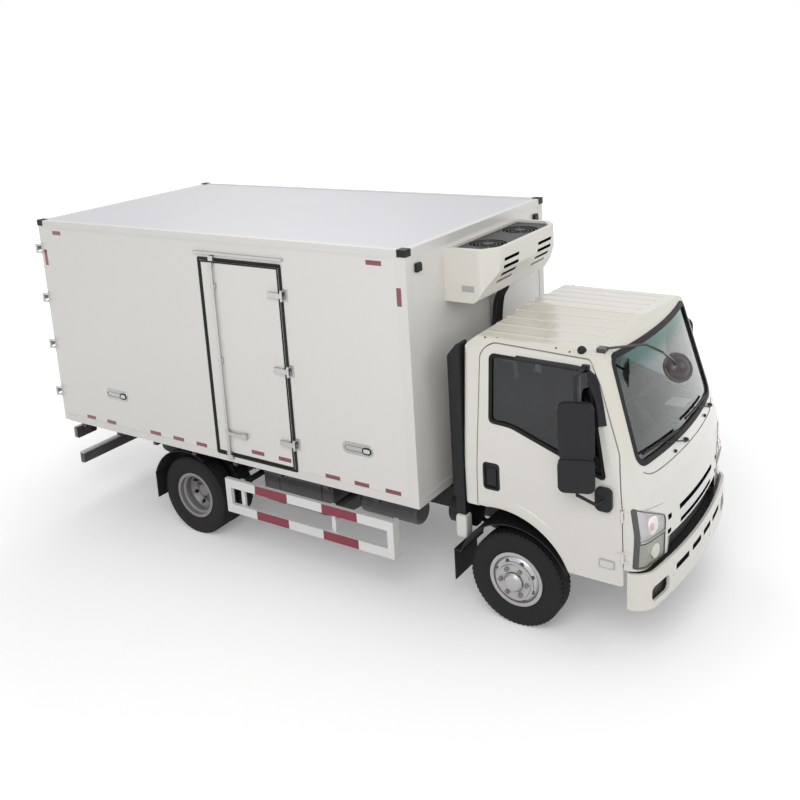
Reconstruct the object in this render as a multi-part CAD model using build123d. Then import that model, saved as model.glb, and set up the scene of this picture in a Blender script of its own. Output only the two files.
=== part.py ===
from build123d import *
import os
from math import cos, radians, sin, sqrt

os.makedirs("parts", exist_ok=True)

# A light cab-over truck with a refrigerated box, in millimetres. It is drawn from the ground under
# the front axle, +X forward and +Y to its left, and set down at the end with the origin under the
# middle of its length.

# Driving dimensions
wheelbase = 3360
front_overhang = 1165          # front axle to the bumper's face
box_rear_overhang = 1632       # rear axle to the box's rear face
box_length = 4302
box_width = 2345
box_height = 2082
box_underside = 938            # above the ground
tyre_radius = 390
front_wheel_y = 836            # centre plane of a front wheel
rear_wheel_y = 828             # middle of a pair of rear wheels
twin_spacing = 236             # between the centre planes of the twin wheels
cab_rear = -385                # cab's rear wall, from the front axle
cab_half_width = 998
cab_roof_top = 2365
gap = 6                        # running gap round every door
seat_gap = 0.3                 # between a curved piece and its seat
pin_clearance = 0.05           # round a pin in its bore

# Frame
rail_half = 425                # rails' outer faces
rail_height = 200
rail_flange = 65
rail_wall = 8
rail_top = 780
frame_front = 960
frame_rear = -4780

# Axles, springs and steering
kingpin_y = 690
kingpin_radius = 16
axle_eye_radius = 31
axle_eye_height = 90
spindle_radius = 22
rear_spindle_radius = 40
spring_width = 50
spring_y = 393
cheek = 6
leaf_thickness = 12
steer_arm_length = 170
tie_rod_z = 292
tie_rod_radius = 14

# Wheels
rim_flange_radius = 225
bead_seat_radius = 204
disc_offset = 118              # rim's centre plane to the disc's mounting face
stud_circle = 222.25
stud_count = 6
hub_radius = 78
tyre_half_width = 102
hand_hole_radius = 19
hand_hole_count = 8

# Refrigerated box
panel = 80                     # insulated wall
floor_depth = 100
edge_proud = 4                 # edge extrusions stand this far off the panels
edge_width = 62
post_width = 96
rear_post = 70
rear_sill = 130
rear_header = 90
corner_cap = 74
side_door_front = -1935        # edge of the doorway, from the front axle
side_door_width = 880
side_door_bottom = 1022
side_door_height = 1768
hinge_out = 28                 # box hinge pins stand this far off the walls
hinge_radius = 11
door_proud = 10
door_gear_depth = 45           # lock rods and handles, off the box's faces
rod_radius = 13

# Cooling unit
unit_half = 620
unit_bottom = 2495
unit_top = 2925
unit_depth = 450

# Cab
cab_wall = 46
footwell_floor = 790
floor_plate = 24
cab_gap = 8                    # running gap round the cab's doors
door_front_low = 893           # front edge of a cab door below its window
cab_hinges = (860, 1180)       # heights of a cab door's hinges
cab_hinge_half = 28
cab_hinge_radius = 10
glass = 5
rib_pitch = 172
rib_width = 74
rib_height = 9
mouth_half = 590               # lower opening of the front panel
mouth_top = 880
# grille slots: (height of the middle, half length, height), and the short slots beside them
grille_slots = ((1032, 396, 40), (916, 372, 36))
slot_near = 540
slot_far = 596
bumper_half = 985
bumper_low = 450
bumper_high = 738
bumper_end = 925
bumper_wall = 34
bumper_lip = 80
# bumper slots on each side: (middle, height of the middle, half length, height)
bumper_slots = ((130, 626, 96, 46), (417, 618, 118, 46), (770, 560, 120, 120))
mirror_rear = 490
mirror_front = 740
mirror_y = -1118
mirror_turn = 20
round_centre = (1064, -320, 2090)
round_radius = 112

rear_axle = -wheelbase
box_rear = rear_axle - box_rear_overhang
box_front = box_rear + box_length
box_top = box_underside + box_height
box_half = box_width / 2
floor_top = box_underside + floor_depth
front_axle_x = (wheelbase + box_rear_overhang + door_gear_depth - front_overhang) / 2


def block(x0, x1, y0, y1, z0, z1):
    """Box between two corners."""
    size = (abs(x1 - x0), abs(y1 - y0), abs(z1 - z0))
    return Pos((x0 + x1) / 2, (y0 + y1) / 2, (z0 + z1) / 2) * Box(*size)


def outline(*rows):
    """Closed outline; each row is (across, up, radius of that corner)."""
    face = make_face(Polyline(*[(across, up) for across, up, radius in rows], close=True))
    for across, up, radius in rows:
        if radius:
            corner = face.vertices().sort_by_distance((across, up, 0))[0]
            face = fillet([corner], radius)
    return face


def side_prism(face, y0, y1):
    """Outline in X and Z, extruded from y0 to y1."""
    return extrude(Plane.XZ.offset(-max(y0, y1)) * face, amount=abs(y1 - y0))


def front_prism(face, x0, x1):
    """Outline in Y and Z, extruded from x0 to x1."""
    return extrude(Plane.YZ.offset(min(x0, x1)) * face, amount=abs(x1 - x0))


def plan_prism(face, z0, z1):
    """Outline in X and Y, extruded from z0 to z1."""
    return extrude(Plane.XY.offset(min(z0, z1)) * face, amount=abs(z1 - z0))


def rod(radius, start, end):
    """Round bar between two points."""
    line = Vector(*end) - Vector(*start)
    plane = Plane(origin=start, z_dir=line)
    return extrude(plane * Circle(radius), amount=line.length)


def upright(x, y, z0, z1, radius):
    return rod(radius, (x, y, z0), (x, y, z1))


def across(part):
    """The same piece on the other side of the vehicle."""
    return mirror(part, about=Plane.XZ)


def both(part):
    return part + across(part)


def joined(parts):
    parts = list(parts)
    whole = parts[0]
    for piece in parts[1:]:
        whole = whole + piece
    return whole


def bent_rod(radius, points):
    """Round bar through several points; its runs lap at each bend."""
    runs = []
    for start, end in zip(points, points[1:]):
        start, end = Vector(*start), Vector(*end)
        lap = (end - start).normalized() * radius * 0.7
        runs.append(rod(radius, (start - lap).to_tuple(), (end + lap).to_tuple()))
    return joined(runs)


def hinge(x, y, z, half, radius, plate_fixed, plate_moving):
    """Pin hinge about a vertical pin at x, y: the fixed ears with their pin, and the moving knuckle.
    Each plate is a ready solid that carries its half."""
    ear = half * 0.55
    bore = radius * 0.5
    knuckle = upright(x, y, z - half, z + half, radius) + plate_moving
    knuckle -= upright(x, y, z - half - 1, z + half + 1, bore + pin_clearance)
    ears = [upright(x, y, z + sign * (half + seat_gap), z + sign * (half + seat_gap + ear), radius)
            for sign in (-1, 1)]
    pin = upright(x, y, z - half - ear, z + half + ear, bore)
    return joined(ears) + pin + plate_fixed, knuckle


parts = {}

# Frame: two channel rails, cross members and spring hangers

def rail():
    web = block(frame_rear, frame_front, rail_half - rail_flange, rail_half,
                rail_top - rail_height, rail_top)
    hollow = block(frame_rear - 1, frame_front + 1, rail_half - rail_flange - 1, rail_half - rail_wall,
                   rail_top - rail_height + rail_wall, rail_top - rail_wall)
    return web - hollow


cross_members = (880, -1180, -2300, -2760, -3960, -4735)
cross_width = 70
cross_height = 92              # they pass over the propeller shaft
# each spring: x of its middle, half length, height of its lowest leaf's seat, rise, number of leaves
springs = ((0, 600, 437, 62, 3), (rear_axle, 650, 452, 44, 4))
eye_radius = 24


def spring_hanger(x):
    """Two cheeks that hang from the rail beside a spring's eye."""
    cheeks = []
    for side in (-1, 1):
        inner = spring_y + side * (spring_width / 2 + seat_gap)
        face = outline((x - 45, rail_top - rail_height, 0), (x + 45, rail_top - rail_height, 0),
                       (x + 28, 490, 20), (x - 28, 490, 20))
        cheeks.append(side_prism(face, inner, inner + side * cheek))
    return joined(cheeks)


rails = rail()
for x, half, seat, rise, leaves in springs:
    for sign in (-1, 1):
        rails += spring_hanger(x + sign * half)
frame = both(rails)
for x in cross_members:
    low = rail_top - cross_height
    member = block(x - cross_width / 2, x + cross_width / 2, -(rail_half - rail_wall), rail_half - rail_wall,
                   low, rail_top - rail_wall)
    pocket = block(x - cross_width / 2 + rail_wall, x + cross_width, -rail_half, rail_half,
                   low + rail_wall, rail_top - 2 * rail_wall)
    frame += member - (pocket & block(x - 100, x + 100, -350, 350, 0, 2000))

tow_eye_radius = 20
tow_eye_length = 24
tow_eye_x = frame_front + 55
tow_eye_y = 300
tow_eye_z = rail_top - 150
tow_plate = outline((frame_front - 10, tow_eye_z - 45, 0), (tow_eye_x + 40, tow_eye_z - 45, 40),
                    (tow_eye_x + 40, tow_eye_z + 45, 40), (frame_front - 10, tow_eye_z + 45, 0))
tow_plate = side_prism(tow_plate, tow_eye_y - tow_eye_length / 2, tow_eye_y + tow_eye_length / 2)
tow_plate -= rod(tow_eye_radius, (tow_eye_x, 0, tow_eye_z), (tow_eye_x, 800, tow_eye_z))
front_member = block(frame_front - 30, frame_front, -(rail_half - rail_wall), rail_half - rail_wall,
                     rail_top - rail_height + rail_wall, rail_top - rail_wall)
frame += front_member + both(tow_plate)
parts["chassis_frame"] = frame


# Springs and axles

def leaf_spring(x, half, seat, rise, leaves):
    """Leaves stacked on one another, each an arc and shorter than the one above."""
    curve = (half ** 2 + rise ** 2) / (2 * rise)
    low = seat + leaves * leaf_thickness
    face = Sketch()
    for leaf in range(leaves):
        inner = curve + leaf * leaf_thickness
        ring = Circle(inner + leaf_thickness) - Circle(inner)
        reach = half * (1 - 0.21 * leaf)
        strip = Pos(x, low - 100) * Rectangle(2 * reach, 400)
        face += (Pos(x, low + curve) * ring) & strip
    for sign in (-1, 1):
        face += Pos(x + sign * half, low + rise + 6) * Circle(eye_radius)
    return side_prism(face, spring_y - spring_width / 2, spring_y + spring_width / 2)


def axle_beam():
    """Forged front beam, dropped in the middle, with an eye for each kingpin."""
    low = wheel_z - 92
    half = outline((0, low, 0), (440, low, 60), (560, wheel_z - 45, 60), (kingpin_y, wheel_z - 45, 0),
                   (kingpin_y, wheel_z + 45, 0), (540, wheel_z + 45, 40), (430, low + 84, 60), (0, low + 84, 0))
    beam = front_prism(half, -38, 38)
    beam -= front_prism(offset(half, amount=-15), 14, 60) + front_prism(offset(half, amount=-15), -60, -14)
    beam += upright(0, kingpin_y, wheel_z - axle_eye_height / 2, wheel_z + axle_eye_height / 2, axle_eye_radius)
    beam -= upright(0, kingpin_y, 0, 1000, kingpin_radius + pin_clearance)
    return beam


wheel_z = tyre_radius
front = axle_beam()
x, half, seat, rise, leaves = springs[0]
front_pad = block(x - 70, x + 70, spring_y - 45, spring_y + 45, wheel_z - 30, seat + 2)
front += leaf_spring(*springs[0]) + front_pad
stack = seat + leaves * leaf_thickness
front += block(x - 60, x + 60, spring_y - 45, spring_y + 45, stack - 1, stack + 16)
parts["front_axle"] = both(front)

x, half, seat, rise, leaves = springs[1]
tube = rod(62, (rear_axle, 0, wheel_z), (rear_axle, 560, wheel_z))
tube += rod(48, (rear_axle, 560, wheel_z), (rear_axle, 640, wheel_z))
tube += rod(rear_spindle_radius, (rear_axle, 560, wheel_z), (rear_axle, rear_wheel_y + 62, wheel_z))
tube += rod(150, (rear_axle, 622, wheel_z), (rear_axle, 628, wheel_z))
tube += leaf_spring(*springs[1])
stack = seat + leaves * leaf_thickness
tube += block(x - 70, x + 70, spring_y - 45, spring_y + 45, wheel_z, seat + 2)
tube += block(x - 60, x + 60, spring_y - 45, spring_y + 45, stack - 1, stack + 16)
bowl = Pos(rear_axle, 0, wheel_z) * Sphere(158)
bowl &= block(rear_axle - 130, rear_axle + 200, -158, 158, 0, 1000)
shaft_end = (rear_axle + 240, 0, wheel_z)
nose = rod(95, (rear_axle, 0, wheel_z), shaft_end)
parts["rear_axle"] = both(tube) + bowl + nose


def knuckle():
    """Left steering knuckle: fork with its kingpin, stub axle, backing plate and steering arm."""
    top = wheel_z + axle_eye_height / 2 + 0.5
    low = wheel_z - axle_eye_height / 2 - 0.5
    ear = 34
    body = upright(0, kingpin_y, low - ear, low, axle_eye_radius)
    body += upright(0, kingpin_y, top, top + ear, axle_eye_radius)
    body += upright(0, kingpin_y, low - ear, top + ear, kingpin_radius)
    back = front_wheel_y - 85
    web_in = kingpin_y + axle_eye_radius + 6
    body += block(-26, 26, web_in, back, low - ear, top + ear)
    body += block(-26, 26, kingpin_y, web_in + 1, top + 6, top + ear)
    body += block(-26, 26, kingpin_y, web_in + 1, low - ear, low - 6)
    body += rod(150, (0, back, wheel_z), (0, back + 6, wheel_z))
    body += rod(spindle_radius, (0, back, wheel_z), (0, front_wheel_y + disc_offset + 14, wheel_z))
    arm_z = low - ear
    arm = block(-steer_arm_length, 0, kingpin_y - 17, kingpin_y + 17, arm_z, arm_z + 26)
    arm += upright(-steer_arm_length, kingpin_y, arm_z, arm_z + 26, 24)
    arm -= upright(-steer_arm_length, kingpin_y, 0, 1000, 10 + pin_clearance)
    return body + arm


steer_eye_y = kingpin_y        # straight arms keep the tie rod parallel as it swings
arm_bottom = wheel_z - axle_eye_height / 2 - 0.5 - 34
left_knuckle = knuckle()
parts["knuckle_left"] = left_knuckle
parts["knuckle_right"] = across(left_knuckle)
tie_z = arm_bottom - 26
tie = rod(tie_rod_radius, (-steer_arm_length, -steer_eye_y, tie_z), (-steer_arm_length, steer_eye_y, tie_z))
for side in (-1, 1):
    tie += upright(-steer_arm_length, side * steer_eye_y, tie_z - 20, arm_bottom - seat_gap, 22)
    tie += upright(-steer_arm_length, side * steer_eye_y, tie_z, arm_bottom + 26, 10)
parts["tie_rod"] = tie


# Wheels: pressed disc welded in a rim, hub and brake drum; tyres are closed rings on their bead seats

# rim's wall: (across the wheel, radius)
rim_wall = ((-82, 225), (-75, 225), (-75, 204), (-36, 204), (-24, 186), (14, 186), (26, 204),
            (75, 204), (75, 225), (82, 225), (82, 214), (80, 197), (28, 197), (16, 178), (-26, 178),
            (-38, 197), (-80, 197), (-82, 214))
# dished disc from the rim's wall to its mounting face: (across, radius)
disc_wall = ((34, 199), (60, 199), (84, 176), (98, 150), (disc_offset, 138), (disc_offset, 84),
             (disc_offset - 12, 84), (disc_offset - 12, 132), (90, 140), (72, 164), (50, 184), (34, 188))


def turned(rows, y, sign=1):
    """Ring turned about a wheel's axle at x = 0, from rows of (across, radius)."""
    face = make_face(Polyline(*[(radius, sign * w) for w, radius in rows], close=True))
    ring = revolve(face, axis=Axis.Y)
    return Pos(0, y, wheel_z) * ring


def wheel(y, sign):
    """Rim and disc; sign is the way its dish faces, away from the vehicle's middle or towards it."""
    disc = turned(disc_wall, y, sign)
    for hole in range(hand_hole_count):
        turn = radians(360 * (hole + 0.5) / hand_hole_count)
        place = (158 * cos(turn), 0, wheel_z + 158 * sin(turn))
        disc -= rod(hand_hole_radius, (place[0], y, place[2]), (place[0], y + sign * 140, place[2]))
    return turned(rim_wall, y, sign) + disc


def drum(y, sign=1):
    rows = ((-66, 160), (disc_offset - 12, 160), (disc_offset - 12, 60), (disc_offset - 24, 60),
            (disc_offset - 24, 150), (-66, 150))
    return turned(rows, y, sign)


def studs(y, length):
    pins = []
    for stud in range(stud_count):
        turn = radians(360 * stud / stud_count)
        place = (stud_circle / 2 * cos(turn), 0, wheel_z + stud_circle / 2 * sin(turn))
        pins.append(rod(16, (place[0], y - 4, place[2]), (place[0], y + length, place[2])))
    return joined(pins)


def hub(rows, y, bore, length):
    """Turned hub on its spindle."""
    body = turned([(w, radius) for w, radius in rows], y)
    return body - rod(bore + pin_clearance, (0, y - 400, wheel_z), (0, y + length, wheel_z))


mount_y = front_wheel_y + disc_offset
front_hub = ((-120, 0), (-120, 60), (-24, 70), (-12, 70), (0, hub_radius), (14, hub_radius), (34, 62),
             (38, 40), (38, 0))
front_wheel = wheel(front_wheel_y, 1) + drum(front_wheel_y) + studs(mount_y, 20)
front_wheel += hub(front_hub, mount_y, spindle_radius, 14 + 0.5)
parts["front_wheel_left"] = front_wheel

inner_y = rear_wheel_y - twin_spacing / 2
outer_y = rear_wheel_y + twin_spacing / 2
rear_hub = ((-140, 0), (-140, 60), (-24, 70), (-12, 70), (0, hub_radius), (46, hub_radius), (54, 66),
            (78, 60), (84, 50), (84, 0))
twin = wheel(inner_y, 1) + wheel(outer_y, -1) + drum(inner_y) + studs(rear_wheel_y + 12, 22)
twin += hub(rear_hub, rear_wheel_y, rear_spindle_radius, 62 + 0.5)
parts["rear_wheels_left"] = Pos(rear_axle, 0, 0) * twin


def tyre(y):
    """Section of lines and two side walls, turned about the axle."""
    bead = bead_seat_radius + seat_gap
    side = [(70, bead), (74.7, 229), (tyre_half_width, 305), (88, 372), (74, tyre_radius)]
    right = Polyline((bead, -70), (bead, 70), (229, 74.7))
    wall_right = ThreePointArc((229, 74.7), (305, tyre_half_width), (374, 88))
    shoulder = Polyline((374, 88), (tyre_radius, 74), (tyre_radius, -74), (374, -88))
    wall_left = ThreePointArc((374, -88), (305, -tyre_half_width), (229, -74.7))
    close = Line((229, -74.7), (bead, -70))
    face = make_face([*right.edges(), wall_right, *shoulder.edges(), wall_left, close])
    return Pos(0, y, wheel_z) * revolve(face, axis=Axis.Y)


parts["front_tyre_left"] = tyre(front_wheel_y)
parts["rear_tyres_left"] = Pos(rear_axle, 0, 0) * (tyre(inner_y) + tyre(outer_y))
for name in ("front_wheel", "rear_wheels", "front_tyre", "rear_tyres"):
    parts[name + "_right"] = across(parts[name + "_left"])

spare_x = -4330
spare_z = 452
spare_tyre = Pos(spare_x, 0, spare_z) * Rot(90, 0, 0) * Pos(0, 0, -wheel_z) * (tyre(0) + turned(rim_wall, 0))
spare_plate = upright(spare_x, 0, spare_z + 62, spare_z + 74, 190)
spare_cable = upright(spare_x, 0, spare_z + 60, spare_z + 120, 12)
parts["spare_wheel"] = spare_tyre + spare_plate + spare_cable
spare_carrier = block(spare_x - 60, spare_x + 60, -(rail_half - rail_wall), rail_half - rail_wall,
                      spare_z + 120, spare_z + 160)
parts["chassis_frame"] += spare_carrier


# Drive line, tanks and boxes on the frame

engine_front = 420
engine_rear = -480
engine_half = 240
engine_low = 452
engine_top = 930
mount_plate = 16
engine = block(engine_rear, engine_front, -engine_half, engine_half, engine_low + 90, engine_top)
engine += block(engine_rear + 200, engine_front - 260, -150, 150, engine_low, engine_low + 90)
for x in (engine_rear + 120, engine_front - 120):
    engine += both(block(x - 50, x + 50, engine_half - 5, rail_half - rail_flange, 600, 640))
gearbox_rear = -1120
case = outline((engine_rear + 2, 760, 0), (gearbox_rear, 690, 30), (gearbox_rear, 520, 30), (engine_rear + 2, 470, 0))
engine += side_prism(case, -150, 150)
engine += rod(70, (gearbox_rear + 5, 0, 600), (gearbox_rear - 60, 0, 600))
shaft_start = (gearbox_rear - 60, 0, 600)
middle_end = (-2180, 0, 560)
engine += rod(44, shaft_start, middle_end)
engine += rod(62, middle_end, (-2260, 0, 560)) & block(-2240, -2100, -200, 200, 0, 1000)
parts["engine_and_gearbox"] = engine
propeller = rod(46, (-2230, 0, 558), (shaft_end[0] + 20, 0, shaft_end[2]))
propeller += rod(70, (shaft_end[0] + 34, 0, shaft_end[2]), shaft_end)
parts["propeller_shaft"] = propeller & block(shaft_end[0] + seat_gap, -2240 - seat_gap, -200, 200, 0, 1000)

tank_low = 452
tank_top = 846
tank_inner = rail_half + 24
tank_outer = 980
tank_section = outline((-tank_inner, tank_low, 50), (-tank_outer, tank_low + 60, 70), (-tank_outer, tank_top, 50),
                       (-tank_inner, tank_top, 50))
fuel_tank = front_prism(tank_section, -2480, -1700)
for x in (-2330, -1850):
    strap = front_prism(offset(tank_section, amount=5) - offset(tank_section, amount=-2), x - 25, x + 25)
    fuel_tank += strap
    fuel_tank += block(x - 30, x + 30, -tank_inner - 6, -rail_half, 600, 740)
parts["fuel_tank"] = fuel_tank

battery = block(-2300, -1640, rail_half + 30, 860, 520, 820)
battery += block(-2290, -1650, 860, 900, 540, 800)
for x in (-2150, -1790):
    battery += block(x - 30, x + 30, rail_half, rail_half + 31, 600, 740)
parts["battery_box"] = battery

air_tank_radius = 118
air_tanks = Part()
for y, z in ((-700, 640), ):
    can = rod(air_tank_radius, (-1560, y, z), (-960, y, z))
    air_tanks += fillet(can.edges().filter_by(GeomType.CIRCLE), 40)
for x in (-1440, -1080):
    air_tanks += block(x - 25, x + 25, -600, -rail_half, 600, 680)
parts["air_tank"] = air_tanks

muffler_y = 700
muffler = rod(130, (-1420, muffler_y, 620), (-820, muffler_y, 620))
muffler = fillet(muffler.edges().filter_by(GeomType.CIRCLE), 30)
for x in (-1300, -940):
    muffler += block(x - 25, x + 25, rail_half, 590, 590, 650)
muffler += rod(38, (-1410, muffler_y, 590), (-1560, muffler_y, 590))
muffler += rod(38, (-830, muffler_y, 640), (-700, muffler_y, 640))
parts["exhaust"] = muffler


# Mudguards: an arch of sheet over each wheel with a flap behind it, on brackets from the rails

guard_sheet = 8

def wheel_arch(radius, start, end, inner, outer):
    """Curved sheet round the wheel from one angle to another, above +X."""
    ring = Circle(radius + guard_sheet) - Circle(radius)
    reach = 2 * radius
    points = [(0, 0)] + [(reach * cos(radians(a)), reach * sin(radians(a)))
                         for a in (start, (2 * start + end) / 3, (start + 2 * end) / 3, end)]
    wedge = make_face(Polyline(*points, close=True))
    return side_prism(Pos(0, wheel_z) * (ring & wedge), inner, outer)


front_arch_radius = 474
front_flap_bottom = 275
arch = wheel_arch(front_arch_radius, 22, 162, 610, 965)
flap_x = front_arch_radius * cos(radians(162))
flap_top = wheel_z + front_arch_radius * sin(radians(162))
arch += block(flap_x - 68, flap_x + 6, 610, 965, flap_top - 6, flap_top + 8)
arch += block(flap_x - 68, flap_x - 58, 610, 965, front_flap_bottom, flap_top + 6)
arch += block(-40, 10, rail_half, 620, wheel_z + front_arch_radius - 14, wheel_z + front_arch_radius + 4) & \
    block(-60, 60, rail_half, 620, 0, rail_top + 84)
arch_arm_z = wheel_z + front_arch_radius
arch += block(-40, 10, rail_half, rail_half + 12, rail_top - 120, arch_arm_z)
rear_arch_radius = 470
rear_flap_bottom = 300
rear_arch_inner = 590
rear_arch_outer = 1092
back_arch = wheel_arch(rear_arch_radius, 62, 158, rear_arch_inner, rear_arch_outer)
back_x = rear_arch_radius * cos(radians(158))
back_top = wheel_z + rear_arch_radius * sin(radians(158))
back_arch += block(back_x - 14, back_x - 4, rear_arch_inner, rear_arch_outer, rear_flap_bottom, back_top + 4)
back_arch += block(-25, 25, rail_half, rear_arch_inner + 20, wheel_z + rear_arch_radius - 50,
                   wheel_z + rear_arch_radius - 2)
back_arch += block(-25, 25, rear_arch_inner, rear_arch_inner + 20, wheel_z + rear_arch_radius - 50,
                   wheel_z + rear_arch_radius + 4)
parts["mudguards"] = both(arch) + both(Pos(rear_axle, 0, 0) * back_arch)


# Side guards and rear underrun bar

guard_rear = -2812
guard_front = -975
guard_top = 742
guard_bottom = 412
guard_rail_height = 84
guard_face = 1150
guard_thick = 38
guard_post = 62
guard_return = 90
side_guard = block(guard_rear, guard_front, guard_face - guard_thick, guard_face, guard_top - guard_rail_height,
                   guard_top)
side_guard += block(guard_rear, guard_front, guard_face - guard_thick, guard_face, guard_bottom,
                    guard_bottom + guard_rail_height)
side_guard += block(guard_rear, guard_rear + guard_post, guard_face - guard_thick, guard_face, guard_bottom, guard_top)
side_guard += block(guard_front - guard_post, guard_front, guard_face - guard_thick, guard_face, guard_bottom, guard_top)
side_guard += block(guard_front - guard_thick, guard_front, guard_face - guard_return, guard_face, guard_bottom,
                    guard_top)
for x in (-2640, -1610):
    side_guard += block(x - 20, x + 20, rail_half, guard_face - guard_thick, guard_top - 60, guard_top - 20)
    side_guard += block(x - 20, x + 20, guard_face - guard_thick - 22, guard_face - guard_thick + 2, guard_bottom,
                        guard_top)
parts["side_guards"] = both(side_guard)

underrun_face = box_rear + 36
underrun_half = 1080
underrun_bottom = 430
underrun_height = 120
bar_section = outline((underrun_face, underrun_bottom, 8), (underrun_face, underrun_bottom + underrun_height, 8),
                      (underrun_face + 60, underrun_bottom + underrun_height, 8), (underrun_face + 60, underrun_bottom, 8))
underrun = side_prism(bar_section, -underrun_half, underrun_half)
drop = outline((underrun_face + 60, underrun_bottom + 10, 0), (underrun_face + 74, underrun_bottom + 10, 0),
               (frame_rear + 150, rail_top - rail_height, 0), (frame_rear + 150, rail_top - 30, 0),
               (frame_rear + 5, rail_top - 30, 0), (underrun_face + 60, underrun_bottom + 110, 0))
underrun += both(side_prism(drop, rail_half, rail_half + 12))
parts["underrun_bar"] = underrun

lamp_bracket_y = 960
lamps = block(box_rear + 18, box_rear + 62, 850, 1100, 706, 826)
lamps = fillet(lamps.edges().filter_by(Axis.X), 18)
lamps += block(box_rear + 55, box_rear + 75, lamp_bracket_y - 60, lamp_bracket_y + 60, 740, box_underside)
parts["rear_lamps"] = both(lamps)


# Refrigerated box: insulated panels between edge extrusions

panel_half = box_half - edge_proud
panel_front = box_front - edge_proud
wall_rear = box_rear + rear_post
inner_half = panel_half - panel
roof_bottom = box_top - edge_proud - panel

floor = block(wall_rear, panel_front - panel, -inner_half, inner_half, box_underside, floor_top)
runner_half = 45
floor_runner = block(box_rear + 90, panel_front - 60, rail_half - 70, rail_half - 70 + runner_half, rail_top, box_underside)
joists = [block(x - 25, x + 25, -(box_half - 70), box_half - 70, box_underside - 76, box_underside)
          for x in range(int(box_rear + 200), int(panel_front - 100), 520)]
floor = floor + both(floor_runner) + joined(joists)
parts["box_floor"] = floor
parts["box_roof"] = block(wall_rear, panel_front, -panel_half, panel_half, roof_bottom, roof_bottom + panel)
left_wall = block(wall_rear, panel_front, inner_half, panel_half, box_underside, roof_bottom)
parts["box_wall_left"] = left_wall
side_door_rear = side_door_front - side_door_width
side_door_top = side_door_bottom + side_door_height
doorway_taper = 16
doorway = block(side_door_rear, side_door_front, -box_half - 60, -inner_half + 60, side_door_bottom, side_door_top)
door_centre = ((side_door_rear + side_door_front) / 2, (side_door_bottom + side_door_top) / 2)


def leaf(width, height, thick):
    """Door leaf, its rim tapering inwards; its outer face is at the origin, facing -Y."""
    face = Plane.XZ.offset(0) * RectangleRounded(width, height, 12)
    return extrude(face, amount=-thick, taper=doorway_taper)


def frame_opening(width, height, thick):
    """What the leaf closes, running on past both faces."""
    body = leaf(width + 2 * gap, height + 2 * gap, thick + 1)
    lip = extrude(Plane.XZ * RectangleRounded(width + 2 * gap, height + 2 * gap, 12), amount=60)
    return body + lip


right_wall = across(left_wall)
right_wall -= Pos(door_centre[0], -panel_half, door_centre[1]) * frame_opening(side_door_width, side_door_height, panel)
parts["box_wall_right"] = right_wall
parts["box_wall_front"] = block(panel_front - panel, panel_front, -inner_half, inner_half, box_underside, roof_bottom)

# rear frame: posts, sill and header round the two rear doors
rear_opening_half = panel_half - rear_post
rear_bottom = box_underside + rear_sill
rear_height = box_top - edge_proud - rear_header - rear_bottom
rear_leaf = rear_opening_half - gap
rear_frame = block(box_rear, wall_rear, -panel_half, panel_half, box_underside, box_top - edge_proud)
rear_frame -= block(box_rear - 10, wall_rear + 10, -rear_opening_half, rear_opening_half, rear_bottom,
                    rear_bottom + rear_height)

# edge extrusions, proud of the panels, and the castings at the top corners
core = block(wall_rear, panel_front, -panel_half, panel_half, box_underside, box_top - edge_proud)
shell = block(wall_rear, box_front, -box_half, box_half, box_underside, box_top) - core
upper = block(box_rear - 10, box_front + 10, -box_half - 10, box_half + 10, box_top - edge_width, box_top + 10)
upper -= block(box_rear - 10, box_front - edge_width, -box_half + edge_width, box_half - edge_width, 0, box_top + 20)
lower = block(wall_rear, box_front + 10, -box_half - 10, box_half + 10, box_underside - 1, box_underside + 72)
posts = both(block(box_front - post_width, box_front + 10, box_half - post_width, box_half + 10, 0, box_top + 10))
edges = (shell & upper) + (shell & lower) + (shell & posts)
edges = fillet(edges.edges().filter_by(Axis.X).sort_by(Axis.Z)[-2:], 3)
parts["edge_rails"] = edges
castings = Part()
for x0, x1 in ((box_front - corner_cap + 2, box_front + 6), (box_rear, box_rear + corner_cap)):
    cap = block(x0, x1, box_half - corner_cap, box_half + 5, box_top - corner_cap + 22, box_top + 5)
    inner = block(box_rear - 20, box_front, -box_half, box_half, 0, box_top)
    if x0 == box_rear:
        inner = block(box_rear - 20, box_front, -box_half, box_half, 0, box_top)
    castings += both(cap - inner)
parts["corner_castings"] = castings


# Doors of the box. Each carries straps to its hinges, and upright lock rods that turn in brackets
# and hook into keepers above and below the doorway.

strap_reach = 120
strap_height = 46
strap_thick = 7
handle_length = 230
keeper_height = 44


def lock_gear(x, low, high, handle_side, handle_z):
    """Lock rod with its brackets and handle on a face at the origin's plane, facing -Y; it ends in cams."""
    stand = door_gear_depth - rod_radius - door_proud
    y = -stand
    gear = upright(x, y, low, high, rod_radius)
    for z in (low + 14, high - 14):
        gear += block(x - 22, x + 22, y - rod_radius, y + rod_radius, z - 14, z + 14)
    reach = high - low
    for share in (0.12, 0.5, 0.88):
        z = low + reach * share
        gear += block(x - 26, x + 26, y, 0, z - 20, z + 20)
    arm = block(0, handle_side * handle_length, y - 8, y + 8, -14, 14)
    gear += Pos(x, 0, handle_z) * arm
    catch = x + handle_side * (handle_length - 30)
    gear += block(catch - 24, catch + 24, y - 8, 0, handle_z - 26, handle_z + 26)
    return gear


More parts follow.
